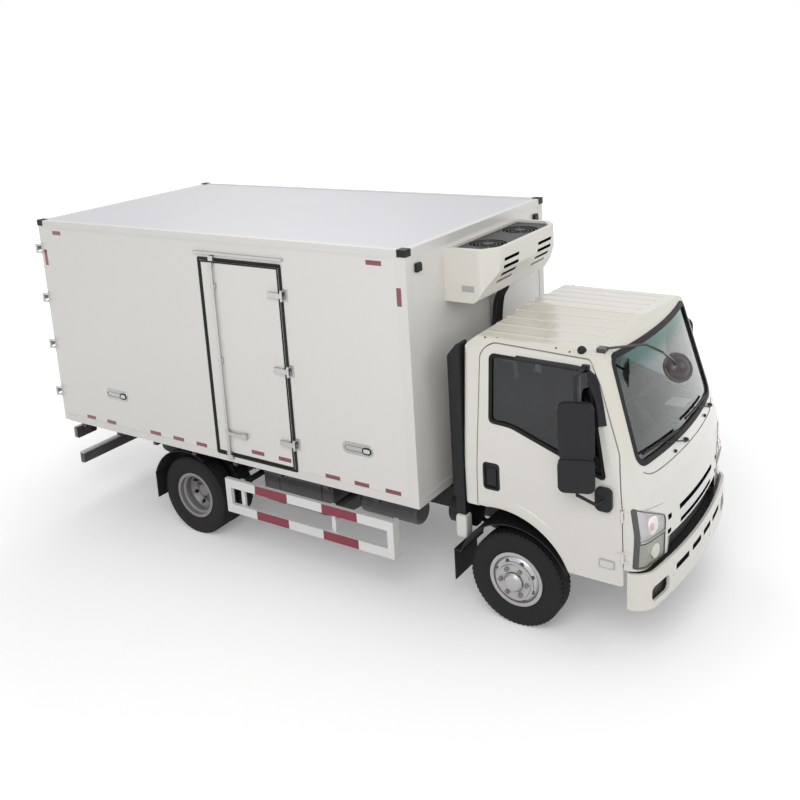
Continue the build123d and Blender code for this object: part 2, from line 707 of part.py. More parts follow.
leaf_y = -panel_half
face_y = leaf_y - door_proud
side_pin = (side_door_front + 32, -box_half - hinge_out)
side_leaf = Pos(door_centre[0], face_y, door_centre[1]) * leaf(side_door_width, side_door_height, panel + door_proud)
side_leaf_body = side_leaf
side_fixed = Part()
hinge_half = 30
for share in (0.13, 0.5, 0.87):
    z = side_door_bottom + side_door_height * share
    strap = block(side_pin[0] - 150, side_pin[0], side_pin[1] - strap_thick, side_pin[1], z - 22, z + 22)
    strap += block(side_pin[0] - 150, side_pin[0] - 50, side_pin[1], face_y, z - 22, z + 22)
    plate = block(side_pin[0] - hinge_radius, side_pin[0] + 46, -box_half, -panel_half, z - 54, z + 54)
    for sign in (-1, 1):
        low = z + sign * (hinge_half + seat_gap)
        plate += block(side_pin[0] - hinge_radius, side_pin[0] + 10, side_pin[1], -panel_half,
                       low, low + sign * 16)
    fixed, moving = hinge(*side_pin, z, hinge_half, hinge_radius, plate, strap)
    side_fixed += fixed
    side_leaf_body += moving
side_rod_x = side_door_rear + 150
side_gear = lock_gear(side_rod_x, side_door_bottom + 4, side_door_top - 4, 1, side_door_bottom + 205)
side_leaf_body += Pos(0, face_y, 0) * side_gear
parts["side_door"] = side_leaf_body

keepers = block(side_rod_x - 26, side_rod_x + 26, -box_half - 26, -box_half,
                side_door_bottom - keeper_height - gap, side_door_bottom - gap)
keepers += block(side_rod_x - 26, side_rod_x + 26, -box_half - 26, -panel_half,
                 side_door_top + gap, side_door_top + gap + keeper_height)
gutter = block(side_door_rear - 60, side_door_front + 60, -box_half - 22, -panel_half, side_door_top + 62,
               side_door_top + 80)
parts["side_door_fittings"] = side_fixed + keepers + gutter

# rear doors, drawn for the left one and mirrored; the door's face looks towards -X
rear_face = box_rear - door_proud
rear_pin = (box_rear - hinge_out, box_half + hinge_out)
rear_leaf_width = rear_opening_half - gap - gap * 0.7
rear_leaf_middle = gap * 0.7 + rear_leaf_width / 2
rear_leaf_height = rear_height - 2 * gap
turn_to_rear = Rot(0, 0, -90)
left_leaf = Pos(rear_face, rear_leaf_middle, rear_bottom + rear_height / 2) * \
    turn_to_rear * leaf(rear_leaf_width, rear_leaf_height, panel + door_proud)
left_fixed = Part()
for share in (0.1, 0.37, 0.63, 0.9):
    z = rear_bottom + rear_height * share
    strap = block(rear_pin[0] - strap_thick, rear_pin[0], rear_pin[1] - 250, rear_pin[1], z - 22, z + 22)
    strap += block(rear_pin[0], rear_face, rear_pin[1] - 250, rear_pin[1] - 130, z - 22, z + 22)
    plate = Part()
    for sign in (-1, 1):
        low = z + sign * (hinge_half + seat_gap)
        plate += block(rear_pin[0], box_rear + 40, rear_pin[1] - 14, rear_pin[1], low, low + sign * 16)
        plate += block(box_rear, box_rear + 40, panel_half, rear_pin[1], low, low + sign * 16)
    fixed, moving = hinge(*rear_pin, z, hinge_half, hinge_radius, plate, strap)
    left_fixed += fixed
    left_leaf += moving
rear_rods = (0.16, 0.62)
rear_gear = Part()
for share in rear_rods:
    rod_y = rear_leaf_middle - rear_leaf_width / 2 + rear_leaf_width * share
    gear = lock_gear(-rod_y, rear_bottom + gap + 4, rear_bottom + rear_height - gap - 4, 1 if share > 0.5 else -1,
                     rear_bottom + 420 + 100 * share)
    rear_gear += Pos(rear_face, 0, 0) * turn_to_rear * gear
left_leaf += rear_gear
parts["rear_door_left"] = left_leaf
parts["rear_door_right"] = across(left_leaf)
rear_frame += both(left_fixed)
for share in rear_rods:
    rod_y = rear_leaf_middle - rear_leaf_width / 2 + rear_leaf_width * share
    for z0, z1 in ((rear_bottom - keeper_height, rear_bottom), (rear_bottom + rear_height, rear_bottom + rear_height + keeper_height)):
        rear_frame += both(block(box_rear - 26, box_rear + 1, rod_y - 26, rod_y + 26, z0, z1))
parts["rear_frame"] = rear_frame


# Cooling unit on the front wall: moulded housing, open top with the condenser's grille, and the
# evaporator inside the box

unit_back = box_front - edge_proud
unit_side = outline((unit_back, unit_bottom, 0), (unit_back + 268, unit_bottom, 60),
                    (unit_back + unit_depth - 26, unit_bottom + 236, 90), (unit_back + unit_depth, unit_top, 26),
                    (unit_back, unit_top, 0))
unit_plan = outline((unit_back, -unit_half, 0), (unit_back + unit_depth - 120, -unit_half, 60),
                    (unit_back + unit_depth, -unit_half + 150, 170), (unit_back + unit_depth, unit_half - 150, 170),
                    (unit_back + unit_depth - 120, unit_half, 60), (unit_back, unit_half, 0))
unit_body = side_prism(unit_side, -700, 700) & plan_prism(unit_plan, 2000, 3200)
well = plan_prism(offset(unit_plan, amount=-46), unit_top - 90, unit_top + 20)
well &= block(unit_back + 34, unit_back + unit_depth, -700, 700, 2000, 3200)
unit_body -= well
slot_rise = 62
slot_length = 250
for side in (-1, 1):
    for row in range(4):
        z = unit_top - 105 - row * slot_rise
        slot = Pos(unit_back + unit_depth - 10, side * 300, z) * Rot(0, 0, 0) * Box(160, slot_length, 26)
        unit_body -= fillet(slot.edges().filter_by(Axis.X), 12)
parts["cooling_unit"] = unit_body
grille_low = unit_top - 90
grille = plan_prism(offset(unit_plan, amount=-46 - seat_gap), grille_low, unit_top - 20)
grille &= block(unit_back + 34 + seat_gap, unit_back + unit_depth, -700, 700, 2000, 3200)
for side in (-1, 1):
    centre = (unit_back + 218, side * 285)
    grille -= plan_prism(Pos(*centre) * (Circle(150) - Circle(46)), unit_top - 62, unit_top)
    for ring in range(3):
        radius = 70 + ring * 30
        grille += plan_prism(Pos(*centre) * (Circle(radius + 4) - Circle(radius - 4)), unit_top - 34, unit_top - 26)
    for spoke in range(6):
        grille += Pos(centre[0], centre[1], unit_top - 30) * Rot(0, 0, spoke * 60) * Pos(98, 0, 0) * Box(108, 8, 8)
parts["condenser_grille"] = grille
evaporator_front = panel_front - panel
evaporator = outline((evaporator_front, roof_bottom, 0), (evaporator_front - 430, roof_bottom, 0),
                     (evaporator_front - 430, roof_bottom - 90, 30), (evaporator_front - 60, roof_bottom - 260, 40),
                     (evaporator_front, roof_bottom - 260, 0))
parts["evaporator"] = side_prism(evaporator, -600, 600)


# Cab: a shell lofted through plan sections, crowned by the roof's outlines, then split where the
# real panels meet

# the cab at each level: (height, front at the middle, half width)
cab_levels = ((480, 1110, 965), (1030, 1130, 994), (1300, 1092, cab_half_width), (1500, 1036, 986),
              (2450, 761, 901))
bow_radius = 4800
front_corner = 130
rear_corner = 55
corner_lap = 0.3               # a rounded corner's cylinder stands this far past its tangent planes
roof_edge = 820                # where the roof's crown meets its rounded edges
roof_edge_z = 2312
bow_axis = cab_levels[1][1] - bow_radius


def corner_centre(level, radius, front):
    """Middle of a corner's arc at one level, on the left side, and the way its front edge faces."""
    height, nose, half = level
    across = half - radius
    if not front:
        return cab_rear + radius, across, height
    reach = nose - bow_axis - radius
    return bow_axis + sqrt(reach ** 2 - across ** 2), across, height


def corner_cut(low, high, radius, front, inset):
    """What a rounded corner takes off the sharp form between two levels, on the left side."""
    start = corner_centre(low, radius, front)
    end = corner_centre(high, radius, front)
    span = 400
    facing = (-1, 0)
    if front:
        length = sqrt((start[0] - bow_axis) ** 2 + start[1] ** 2)
        facing = ((start[0] - bow_axis) / length, start[1] / length)
    wedge = make_face(Polyline((0, 0), (0, span), (span if front else -span, span),
                               (span * facing[0], span * facing[1]), close=True))
    wedge -= Circle(radius - inset + corner_lap)
    return extrude(Pos(*start) * wedge, amount=(Vector(*end) - Vector(*start)).length,
                   dir=Vector(*end) - Vector(*start))


def cab_form(inset):
    """The cab's outside moved inwards by inset: its cross-section, the bowed front turned about a far
    axis, the rear's profile, and the rounded corners that lean with both."""
    side = [(half, height, 0) for height, front, half in cab_levels[:-1]]
    edge = [(924, 2198, 0), (905, 2248, 70), (roof_edge, roof_edge_z, 80)]
    left = side + edge
    rows = left + [(0, cab_roof_top, 0)] + [(-y, z, r) for y, z, r in reversed(left)]
    nose = [(front, height, 0) for height, front, half in cab_levels[:-1]]
    nose += [(817, 2256, 0), (780, 2310, 60), (690, 2366, 90), (500, 2384, 0), (bow_axis, 2384, 0),
             (bow_axis, 300, 0), (cab_levels[0][1], 300, 0)]
    tail = outline((cab_rear, 300, 0), (1500, 300, 0), (1500, 2400, 0), (cab_rear + 500, 2400, 0),
                   (cab_rear + 120, 2352, 90), (cab_rear + 20, 2270, 80), (cab_rear, 2214, 0))
    section = outline(*rows)
    nose = outline(*nose)
    if inset:
        section = offset(section, amount=-inset)
        nose = offset(nose, amount=-inset)
        tail = offset(tail, amount=-inset)
    bow = revolve(Plane.XZ * nose, axis=Axis((bow_axis, 0, 0), (0, 0, 1)))
    form = front_prism(section, -600, 1400) & bow & side_prism(tail, -1100, 1100)
    for low, high in zip(cab_levels, cab_levels[1:]):
        form -= both(corner_cut(low, high, front_corner, True, inset))
        form -= both(corner_cut(low, high, rear_corner, False, inset))
    return form


lining = cab_wall + seat_gap
forms = {inset: cab_form(inset) for inset in (0, 2, 12, 18, 18 + glass, 42, cab_wall, lining)}


def skin(zone, near=0, far=cab_wall):
    """The part of the cab's wall between two insets that lies in a zone."""
    return (forms[near] & zone) - forms[far]


arch_centre = (-90, 420)
arch_radius = 590
cab_sill = 996
screen_seam = 1600
roof_seam = 2296
door_step = 12                 # how much smaller a cab door's inner layer is, all round
door_inside = 824              # a cab door stays outside this
door_face = outline((-262, 1002, 18), (-228, 2284, 105), (640, 2262, 60), (712, 2098, 150), (862, 1618, 300),
                    (door_front_low, 1250, 200), (door_front_low, 612, 25), (arch_centre[0], 612, 0),
                    (arch_centre[0], 1002, 0))
door_face -= Pos(*arch_centre) * Circle(arch_radius)
door_zone = side_prism(door_face, -1200, -door_inside)
door_hole = side_prism(offset(door_face, amount=cab_gap), -1200, cab_gap - door_inside)
window_face = outline((-160, 1686, 40), (-160, 2226, 45), (638, 2208, 45), (786, 1402, 35), (450, 1524, 260),
                      (20, 1676, 260))
screen_face = outline((-846, 1492, 95), (-792, 2282, 75), (792, 2282, 75), (846, 1492, 95))
back_window = outline((-540, 1600, 60), (-540, 2120, 60), (540, 2120, 60), (540, 1600, 60))
screen_hole = front_prism(screen_face, 500, 1300)
back_hole = front_prism(back_window, cab_rear - 50, cab_rear + 150)
openings = both(door_hole)

roof_zone = block(-600, 560, -1100, 1100, roof_seam, 2600) + block(560, 1400, -1100, 1100, screen_seam, 2600)
roof = skin(roof_zone) - screen_hole - openings
for rib in range(-4, 5):
    y = rib * rib_pitch
    drop = (cab_roof_top - roof_edge_z) * abs(y) / roof_edge
    top = cab_roof_top - drop - 6
    section = outline((y - rib_width / 2, top - 14, 0), (y - rib_width / 2 + 14, top + rib_height, 12),
                      (y + rib_width / 2 - 14, top + rib_height, 12), (y + rib_width / 2, top - 14, 0))
    roof += front_prism(section, -290, 610)
parts["cab_roof"] = roof

front_zone = block(560, 1400, -1100, 1100, 756, screen_seam)
front_skin = skin(front_zone) - screen_hole - openings
mouth = outline((-mouth_half, 700, 0), (mouth_half, 700, 0), (mouth_half - 30, mouth_top, 20),
                (30 - mouth_half, mouth_top, 20))
front_skin -= front_prism(mouth, 900, 1300)
for z, half, height in grille_slots:
    front_skin -= front_prism(Pos(0, z) * RectangleRounded(2 * half, height, 12), 950, 1300)
    for side in (-1, 1):
        middle = side * (slot_near + slot_far) / 2
        front_skin -= front_prism(Pos(middle, z) * RectangleRounded(slot_far - slot_near, height, 10), 950, 1300)
lamp_face = outline((974, 768, 20), (974, 1262, 26), (1140, 1092, 0), (1140, 742, 0))
lamp_inner_y = 632
lamp_zone = side_prism(lamp_face, -1100, -lamp_inner_y)
front_skin -= both(side_prism(offset(lamp_face, amount=seat_gap), -1100, -lamp_inner_y + seat_gap))
parts["headlamps"] = skin(both(lamp_zone), 2, 42)

wheel_house = side_prism(Pos(*arch_centre) * Circle(arch_radius), -1100, 1100)
body_zone = block(-600, 300, -1100, 1100, cab_sill, roof_seam) - wheel_house
body_zone += block(299, 560, -1100, 1100, 2200, roof_seam)
cab_body = skin(body_zone) - back_hole - openings
floor_line = outline((cab_rear + 10, cab_sill, 0), (470, cab_sill, 0), (500, footwell_floor, 0),
                     (985, footwell_floor, 0), (985, footwell_floor + floor_plate, 0),
                     (520, footwell_floor + floor_plate, 0), (490, cab_sill + floor_plate, 0),
                     (cab_rear + 10, cab_sill + floor_plate, 0))
cab_body += side_prism(floor_line, -880, 880) & block(-600, 300, -1000, 1000, 0, 2000)
cab_body += forms[lining] & side_prism(floor_line, -880, 880) & block(299, 1200, -1000, 1000, 0, 2000)
cab_body += forms[lining] & block(960, 985, -880, 880, footwell_floor, 1440)
for x, top in ((-300, cab_sill + 2), (700, footwell_floor + 2)):
    cab_body += both(block(x - 45, x + 45, rail_half - 70, rail_half, rail_top, top))
parts["cab_shell"] = cab_body

screen = skin(front_prism(offset(screen_face, amount=-seat_gap), 500, 1300), 12, 18)
back_glass = front_prism(offset(back_window, amount=-seat_gap), cab_rear + 20, cab_rear + 26)
parts["cab_glass"] = screen + back_glass

# cab doors: an outer layer, and a smaller inner one that swings clear of the doorway
inner_layer = side_prism(offset(door_face, amount=-door_step), -1200, -door_inside)
window_hole = side_prism(window_face, -1200, -600)
window_seat = side_prism(offset(window_face, amount=-seat_gap), -1200, -600)
handle_pocket = side_prism(Pos(-136, 1264) * RectangleRounded(132, 212, 24), -1100, -980)
door_pin = (door_front_low + cab_gap / 2, -(cab_half_width + 2))
door_relief = Part()
door_leaves = Part()
door_ears = Part()
for z in cab_hinges:
    reach = cab_hinge_half * 1.55 + seat_gap
    door_relief += upright(*door_pin, z - reach - cab_gap, z + reach + cab_gap, cab_hinge_radius + 6)
    leaf_plate = block(door_pin[0] - 46, door_pin[0] - 2, door_pin[1] + 4, door_pin[1] + 50,
                       z - cab_hinge_half, z + cab_hinge_half)
    fixed_plate = Part()
    for sign in (-1, 1):
        low = z + sign * (cab_hinge_half + seat_gap)
        fixed_plate += block(door_pin[0] + 2, door_pin[0] + 46, door_pin[1] + 4, door_pin[1] + 50, low,
                             low + sign * cab_hinge_half * 0.55)
    fixed, moving = hinge(*door_pin, z, cab_hinge_half, cab_hinge_radius, fixed_plate, leaf_plate)
    door_leaves += moving
    door_ears += fixed
for side, place in (("right", lambda part: part), ("left", across)):
    door = skin(place(door_zone), 0, 18) + skin(place(inner_layer), 12, cab_wall)
    door -= place(window_hole) + place(handle_pocket)
    parts["cab_door_" + side] = door - place(door_relief) + place(door_leaves)
    parts["door_glass_" + side] = skin(place(window_seat), 18, 18 + glass)
parts["front_panel"] = front_skin - both(door_relief) + both(door_ears)


# Bumper, dashboard with the steering wheel, and seats

def bumper_plan(inset):
    half = bumper_half - inset
    rear = bumper_end - 300
    front = front_overhang - inset
    side = front - (bow_radius - sqrt(bow_radius ** 2 - half ** 2))
    back = Polyline((side, -half), (rear, -half), (rear, half), (side, half))
    face = make_face([*back.edges(), ThreePointArc((side, half), (front, 0), (side, -half))])
    for y in (-half, half):
        corner = face.vertices().sort_by_distance((side, y, 0))[0]
        face = fillet([corner], 170 - inset)
    return face


bumper = plan_prism(bumper_plan(0), bumper_low, bumper_high) & block(bumper_end, 1300, -1100, 1100, 0, 1000)
bumper -= plan_prism(bumper_plan(bumper_wall), bumper_low - 10, bumper_high - 14)
bumper -= plan_prism(bumper_plan(bumper_lip), bumper_low - 10, bumper_high + 10)
for y, z, half, height in bumper_slots:
    for side in (-1, 1):
        bumper -= front_prism(Pos(side * y, z) * RectangleRounded(2 * half, height, height / 3), 1000, 1300)
bumper += both(block(frame_front, 1130, 350, 415, 690, 722))
parts["bumper"] = bumper

dash_line = outline((640, 1180, 30), (670, 1395, 60), (760, 1440, 60), (900, 1440, 0), (900, 1100, 0),
                    (720, 1100, 60))
dashboard = side_prism(dash_line, -800, 800) + block(890, 960, -500, 500, 1150, 1400)
wheel_centre = (430, 450, 1476)
wheel_lean = 40
ring = Torus(205, 15) + Box(406, 24, 12) + Cylinder(52, 40)
dashboard += Pos(*wheel_centre) * Rot(0, -wheel_lean, 0) * ring
column_end = (wheel_centre[0] + 420 * sin(radians(wheel_lean)), wheel_centre[1],
              wheel_centre[2] - 420 * cos(radians(wheel_lean)))
dashboard += rod(34, wheel_centre, column_end)
dashboard += block(column_end[0] - 60, 740, 400, 500, column_end[2] - 10, 1240)
parts["dashboard"] = dashboard

seat_bottom = cab_sill + floor_plate
seat_line = outline((-230, seat_bottom, 20), (300, seat_bottom, 30), (330, 1215, 50), (290, 1262, 40),
                    (-110, 1228, 60), (-205, 1790, 50), (-322, 1790, 50), (-262, 1200, 60))
head_line = outline((-300, 1780, 0), (-225, 1780, 0), (-212, 1985, 35), (-296, 1985, 35))
seats = Part()
for y0, y1, heads in ((215, 705, (460,)), (-705, 120, (-500, -110))):
    seats += side_prism(seat_line, y0, y1)
    for y in heads:
        seats += side_prism(head_line, y - 120, y + 120)
parts["seats"] = seats


# Mirrors, and the intake duct behind the cab

mid_x = 0.5 * (mirror_rear + mirror_front)
width = mirror_front - mirror_rear
head = side_prism(Pos(mid_x, 1815) * RectangleRounded(width, 430, 60), -24, 24)
head += side_prism(Pos(mid_x - 4, 1488) * RectangleRounded(width + 8, 250, 50), -32, 24)
head = Pos(mid_x, mirror_y, 0) * Rot(0, 0, mirror_turn) * Pos(-mid_x, 0, 0) * head
low_pad = (780, -1021, 1290)
high_pad = (615, -935, 2229)
pole_rows = (high_pad, (604, -1075, 2205), (mid_x, mirror_y, 2110), (mid_x, mirror_y, 1335),
             (735, -1080, 1272), low_pad)
mirror_arm = bent_rod(12, pole_rows)
mirror_arm += side_prism(Pos(768, 1290) * RectangleRounded(124, 180, 40), -1028, -cab_half_width - seat_gap)
mirror_arm += block(590, 640, -955, -919, 2214, 2244)
parts["mirror_right"] = head + mirror_arm
parts["mirror_left"] = across(parts["mirror_right"])

round_rows = ((690, -790, 2330), (950, -665, 2358), (1050, -612, 2300), (1062, -420, 2180), round_centre)
round_mirror = bent_rod(9, round_rows)
dish_plane = Plane(origin=round_centre, z_dir=(0.62, -0.58, 0.53))
dish = extrude(dish_plane * Circle(round_radius), amount=12)
dish += dish_plane * Pos(0, 0, -52) * (Sphere(112) & Pos(0, 0, 150) * Box(300, 300, 172))
foot = block(650, 715, -825, -755, 2300, 2338) - cab_form(-seat_gap)
parts["round_mirror"] = round_mirror + dish + foot

duct = block(-520, -400, -950, -800, 1000, 2262)
duct = fillet(duct.edges().filter_by(Axis.Z), 30)
duct &= side_prism(outline((-540, 900, 0), (-380, 900, 0), (-380, 2262, 0), (-430, 2262, 0), (-520, 2150, 90),
                           (-540, 1000, 0)), -1000, -700)
duct += block(-502, -422, -920, -740, 780, 1010)
duct += rod(118, (-650, -690, 760), (-440, -690, 760)) + block(-600, -540, -620, -rail_half, 660, 720)
parts["air_intake"] = duct


for name, part in parts.items():
    export_step(Pos(front_axle_x, 0, 0) * part, f"parts/{name}.step")
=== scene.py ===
import bpy
import numpy as np
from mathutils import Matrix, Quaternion, Vector


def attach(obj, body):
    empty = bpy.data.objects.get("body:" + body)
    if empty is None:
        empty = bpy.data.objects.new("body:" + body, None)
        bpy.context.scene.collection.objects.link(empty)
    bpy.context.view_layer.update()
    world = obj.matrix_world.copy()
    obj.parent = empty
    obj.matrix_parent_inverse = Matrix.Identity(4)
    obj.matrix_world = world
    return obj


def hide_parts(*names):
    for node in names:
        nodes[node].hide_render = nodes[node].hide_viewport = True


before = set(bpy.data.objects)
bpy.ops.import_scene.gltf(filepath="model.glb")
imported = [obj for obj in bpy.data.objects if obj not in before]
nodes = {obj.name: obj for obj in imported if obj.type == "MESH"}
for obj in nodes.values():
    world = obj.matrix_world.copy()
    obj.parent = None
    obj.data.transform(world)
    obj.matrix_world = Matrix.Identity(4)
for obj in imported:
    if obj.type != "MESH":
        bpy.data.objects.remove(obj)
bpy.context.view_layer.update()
scene = bpy.context.scene

# The studio: a pale floor, a white world that lights softly, and the camera off the front right
# corner, above the roof. Every place is in metres from the middle of the truck's length, on the
# ground, +X forward and +Y to its left.
photo_width = 800
focal_pixels = 983.94
optical_axis = (382.21, 262.89)      # pixel of the photograph that the lens looks straight at
camera_turn = Vector((1.2812, 0.4498, 0.4620))
lens = bpy.data.cameras.new("camera")
lens.sensor_width = 36
lens.lens = focal_pixels * lens.sensor_width / photo_width
lens.shift_x = 0.5 - optical_axis[0] / photo_width
lens.shift_y = optical_axis[1] / photo_width - 0.5
camera = bpy.data.objects.new("camera", lens)
camera.location = (5.1708, -7.0649, 4.5803)
camera.rotation_mode = "QUATERNION"
camera.rotation_quaternion = Quaternion(camera_turn.normalized(), camera_turn.length)
scene.collection.objects.link(camera)
scene.camera = camera
scene.view_settings.view_transform = "Standard"


def sum_node(tree, operation, first, second):
    """Arithmetic on two sockets, or on a socket and a number."""
    node = tree.nodes.new("ShaderNodeMath")
    node.operation = operation
    for place, value in enumerate((first, second)):
        if isinstance(value, (int, float)):
            node.inputs[place].default_value = value
        else:
            tree.links.new(value, node.inputs[place])
    return node.outputs[0]


def ramp_node(tree, value, start, stop, low=0.0, high=1.0):
    """Straight ramp of a socket: low where it is start, high where it is stop, and held beyond them."""
    ramp = tree.nodes.new("ShaderNodeMapRange")
    for label, number in (("From Min", start), ("From Max", stop), ("To Min", low), ("To Max", high)):
        ramp.inputs[label].default_value = number
    tree.links.new(value, ramp.inputs["Value"])
    return ramp.outputs["Result"]


def looking_ray(tree, operation):
    """What a camera, glossy or transmission ray gives, joined by an operation."""
    rays = tree.nodes.new("ShaderNodeLightPath")
    direct = sum_node(tree, operation, rays.outputs["Is Camera Ray"], rays.outputs["Is Glossy Ray"])
    return sum_node(tree, operation, direct, rays.outputs["Is Transmission Ray"])


def object_place(tree):
    """Socket of the Object coordinates."""
    return tree.nodes.new("ShaderNodeTexCoord").outputs["Object"]


world_light = 0.56                   # what the world lights with; looked at, it is plain white
world = bpy.data.worlds.new("studio")
scene.world = world
world.use_nodes = True
sky = world.node_tree
backdrop = sky.nodes["Background"]
backdrop.inputs["Color"].default_value = (1, 1, 1, 1)
sky_level = ramp_node(sky, looking_ray(sky, "ADD"), 0.0, 1.0, world_light, 1.0)
sky.links.new(sky_level, backdrop.inputs["Strength"])

# lamps: (name, place, width, watts)
lamp_rows = (("key", (4.5, -8.5, 9.0), 7.0, 470), ("fill", (10.0, 1.0, 6.5), 6.0, 125),
             ("back", (-6.0, 6.0, 9.0), 7.0, 175))
lamp_target = Vector((0.5, 0, 1.2))
for name, place, width, watts in lamp_rows:
    lamp = bpy.data.lights.new(name, "AREA")
    lamp.shape = "DISK"
    lamp.size = width
    lamp.energy = watts
    light = bpy.data.objects.new(name, lamp)
    light.location = place
    light.rotation_mode = "QUATERNION"
    light.rotation_quaternion = (lamp_target - Vector(place)).to_track_quat("-Z", "Y")
    scene.collection.objects.link(light)

floor_half = 60.0
floor_mesh = bpy.data.meshes.new("floor")
floor_mesh.from_pydata([(-floor_half, -floor_half, 0), (floor_half, -floor_half, 0),
                        (floor_half, floor_half, 0), (-floor_half, floor_half, 0)], [], [(0, 1, 2, 3)])
floor = bpy.data.objects.new("floor", floor_mesh)
scene.collection.objects.link(floor)
floor_paint = bpy.data.materials.new("floor_paint")
floor_paint.use_nodes = True
ground = floor_paint.node_tree
floor_shader = ground.nodes["Principled BSDF"]
floor_shader.inputs["Base Color"].default_value = (0.94, 0.94, 0.94, 1)
floor_shader.inputs["Roughness"].default_value = 0.9
floor_shader.inputs["Emission Color"].default_value = (1, 1, 1, 1)
distance = ground.nodes.new("ShaderNodeVectorMath")
distance.operation = "LENGTH"
ground.links.new(object_place(ground), distance.inputs[0])
# the floor turns to plain white between two distances from the truck, in metres
glow = ramp_node(ground, distance.outputs["Value"], 3.5, 9.0, 0.20, 0.75)
floor_glow = sum_node(ground, "MULTIPLY", looking_ray(ground, "MAXIMUM"), glow)
ground.links.new(floor_glow, floor_shader.inputs["Emission Strength"])
floor_mesh.materials.append(floor_paint)


# Frame, springs, axles and drive line: steel under matt black paint, which has taken road dust that
# is thickest low down. The same layer of dust, patches and grain is under every finish of the truck.
def new_group(name, inputs, outputs):
    """An empty shader group; each input is (name, kind, value) and each output (name, kind)."""
    tree = bpy.data.node_groups.new(name, "ShaderNodeTree")
    for label, kind, value in inputs:
        socket = tree.interface.new_socket(label, in_out="INPUT", socket_type="NodeSocket" + kind)
        socket.default_value = value
    for label, kind in outputs:
        tree.interface.new_socket(label, in_out="OUTPUT", socket_type="NodeSocket" + kind)
    return tree, tree.nodes.new("NodeGroupInput"), tree.nodes.new("NodeGroupOutput")


def blend_node(tree, mask, first, second):
    """Mixes two colours, each a socket or (red, green, blue), by a mask."""
    node = tree.nodes.new("ShaderNodeMix")
    node.data_type = "RGBA"
    tree.links.new(mask, node.inputs["Factor"])
    for place, value in ((6, first), (7, second)):
        if isinstance(value, tuple):
            node.inputs[place].default_value = (*value, 1)
        else:
            tree.links.new(value, node.inputs[place])
    return node.outputs[2]


def noise_node(tree, place, scale, detail=2.0):
    """Noise on a socket of places; its scale is a number or a socket."""
    node = tree.nodes.new("ShaderNodeTexNoise")
    node.inputs["Detail"].default_value = detail
    tree.links.new(place, node.inputs["Vector"])
    if isinstance(scale, (int, float)):
        node.inputs["Scale"].default_value = scale
    else:
        tree.links.new(scale, node.inputs["Scale"])
    return node.outputs["Fac"]


def object_axes(tree):
    """Sockets X, Y and Z of the Object coordinates."""
    split = tree.nodes.new("ShaderNodeSeparateXYZ")
    tree.links.new(object_place(tree), split.inputs[0])
    return split.outputs


dirt_inputs = (("Base", "Color", (0.5, 0.5, 0.5, 1)), ("Dust", "Color", (0.3, 0.28, 0.25, 1)),
               ("Amount", "Float", 0.2), ("Splash", "Float", 0.6), ("Roughness", "Float", 0.5),
               ("Spread", "Float", 0.1), ("Patch", "Float", 3.0), ("Grain", "Float", 200.0))
dirt_outputs = (("Color", "Color"), ("Roughness", "Float"), ("Height", "Float"))
dirt, dirt_in, dirt_out = new_group("road_dirt", dirt_inputs, dirt_outputs)
patches = noise_node(dirt, object_place(dirt), dirt_in.outputs["Patch"], 5.0)
grain = noise_node(dirt, object_place(dirt), dirt_in.outputs["Grain"], 2.0)
near_ground = sum_node(dirt, "DIVIDE", object_axes(dirt)["Z"], dirt_in.outputs["Splash"])
near_ground = sum_node(dirt, "SUBTRACT", 1.6, near_ground)
near_ground = sum_node(dirt, "MAXIMUM", near_ground, 0.25)
mask = sum_node(dirt, "MULTIPLY", near_ground, sum_node(dirt, "POWER", patches, 1.6))
mask = sum_node(dirt, "MULTIPLY", mask, dirt_in.outputs["Amount"])
mask = sum_node(dirt, "MINIMUM", mask, 0.85)
dusty = blend_node(dirt, mask, dirt_in.outputs["Base"], dirt_in.outputs["Dust"])
dirt.links.new(dusty, dirt_out.inputs["Color"])
uneven = sum_node(dirt, "SUBTRACT", patches, 0.5)
uneven = sum_node(dirt, "MULTIPLY", uneven, dirt_in.outputs["Spread"])
rough = sum_node(dirt, "ADD", sum_node(dirt, "ADD", dirt_in.outputs["Roughness"], uneven),
                 sum_node(dirt, "MULTIPLY", mask, 0.25))
dirt.links.new(rough, dirt_out.inputs["Roughness"])
dirt.links.new(grain, dirt_out.inputs["Height"])


def finish(name, colour, rough, metal=0.0, coat=0.0, dust=0.15, splash=0.6, dust_colour=(0.3, 0.28, 0.25),
           patch=3.0, grain=200.0, depth=0.0001, spread=0.12):
    """Material of one finish under the layer of road dirt; colour is (red, green, blue)."""
    material = bpy.data.materials.new(name)
    material.use_nodes = True
    tree = material.node_tree
    shader = tree.nodes["Principled BSDF"]
    layer = tree.nodes.new("ShaderNodeGroup")
    layer.name = "layer"
    layer.node_tree = dirt
    for label, value in (("Base", (*colour, 1)), ("Dust", (*dust_colour, 1)), ("Amount", dust),
                         ("Splash", splash), ("Roughness", rough), ("Spread", spread), ("Patch", patch),
                         ("Grain", grain)):
        layer.inputs[label].default_value = value
    bump = tree.nodes.new("ShaderNodeBump")
    bump.name = "grain"
    bump.inputs["Distance"].default_value = depth
    tree.links.new(layer.outputs["Color"], shader.inputs["Base Color"])
    tree.links.new(layer.outputs["Roughness"], shader.inputs["Roughness"])
    tree.links.new(layer.outputs["Height"], bump.inputs["Height"])
    tree.links.new(bump.outputs["Normal"], shader.inputs["Normal"])
    shader.inputs["Metallic"].default_value = metal
    shader.inputs["Coat Weight"].default_value = coat
    return material


def dress(material, *names):
    """Gives CAD nodes their finish."""
    for name in names:
        for slot in nodes[name].material_slots:
            slot.material = material


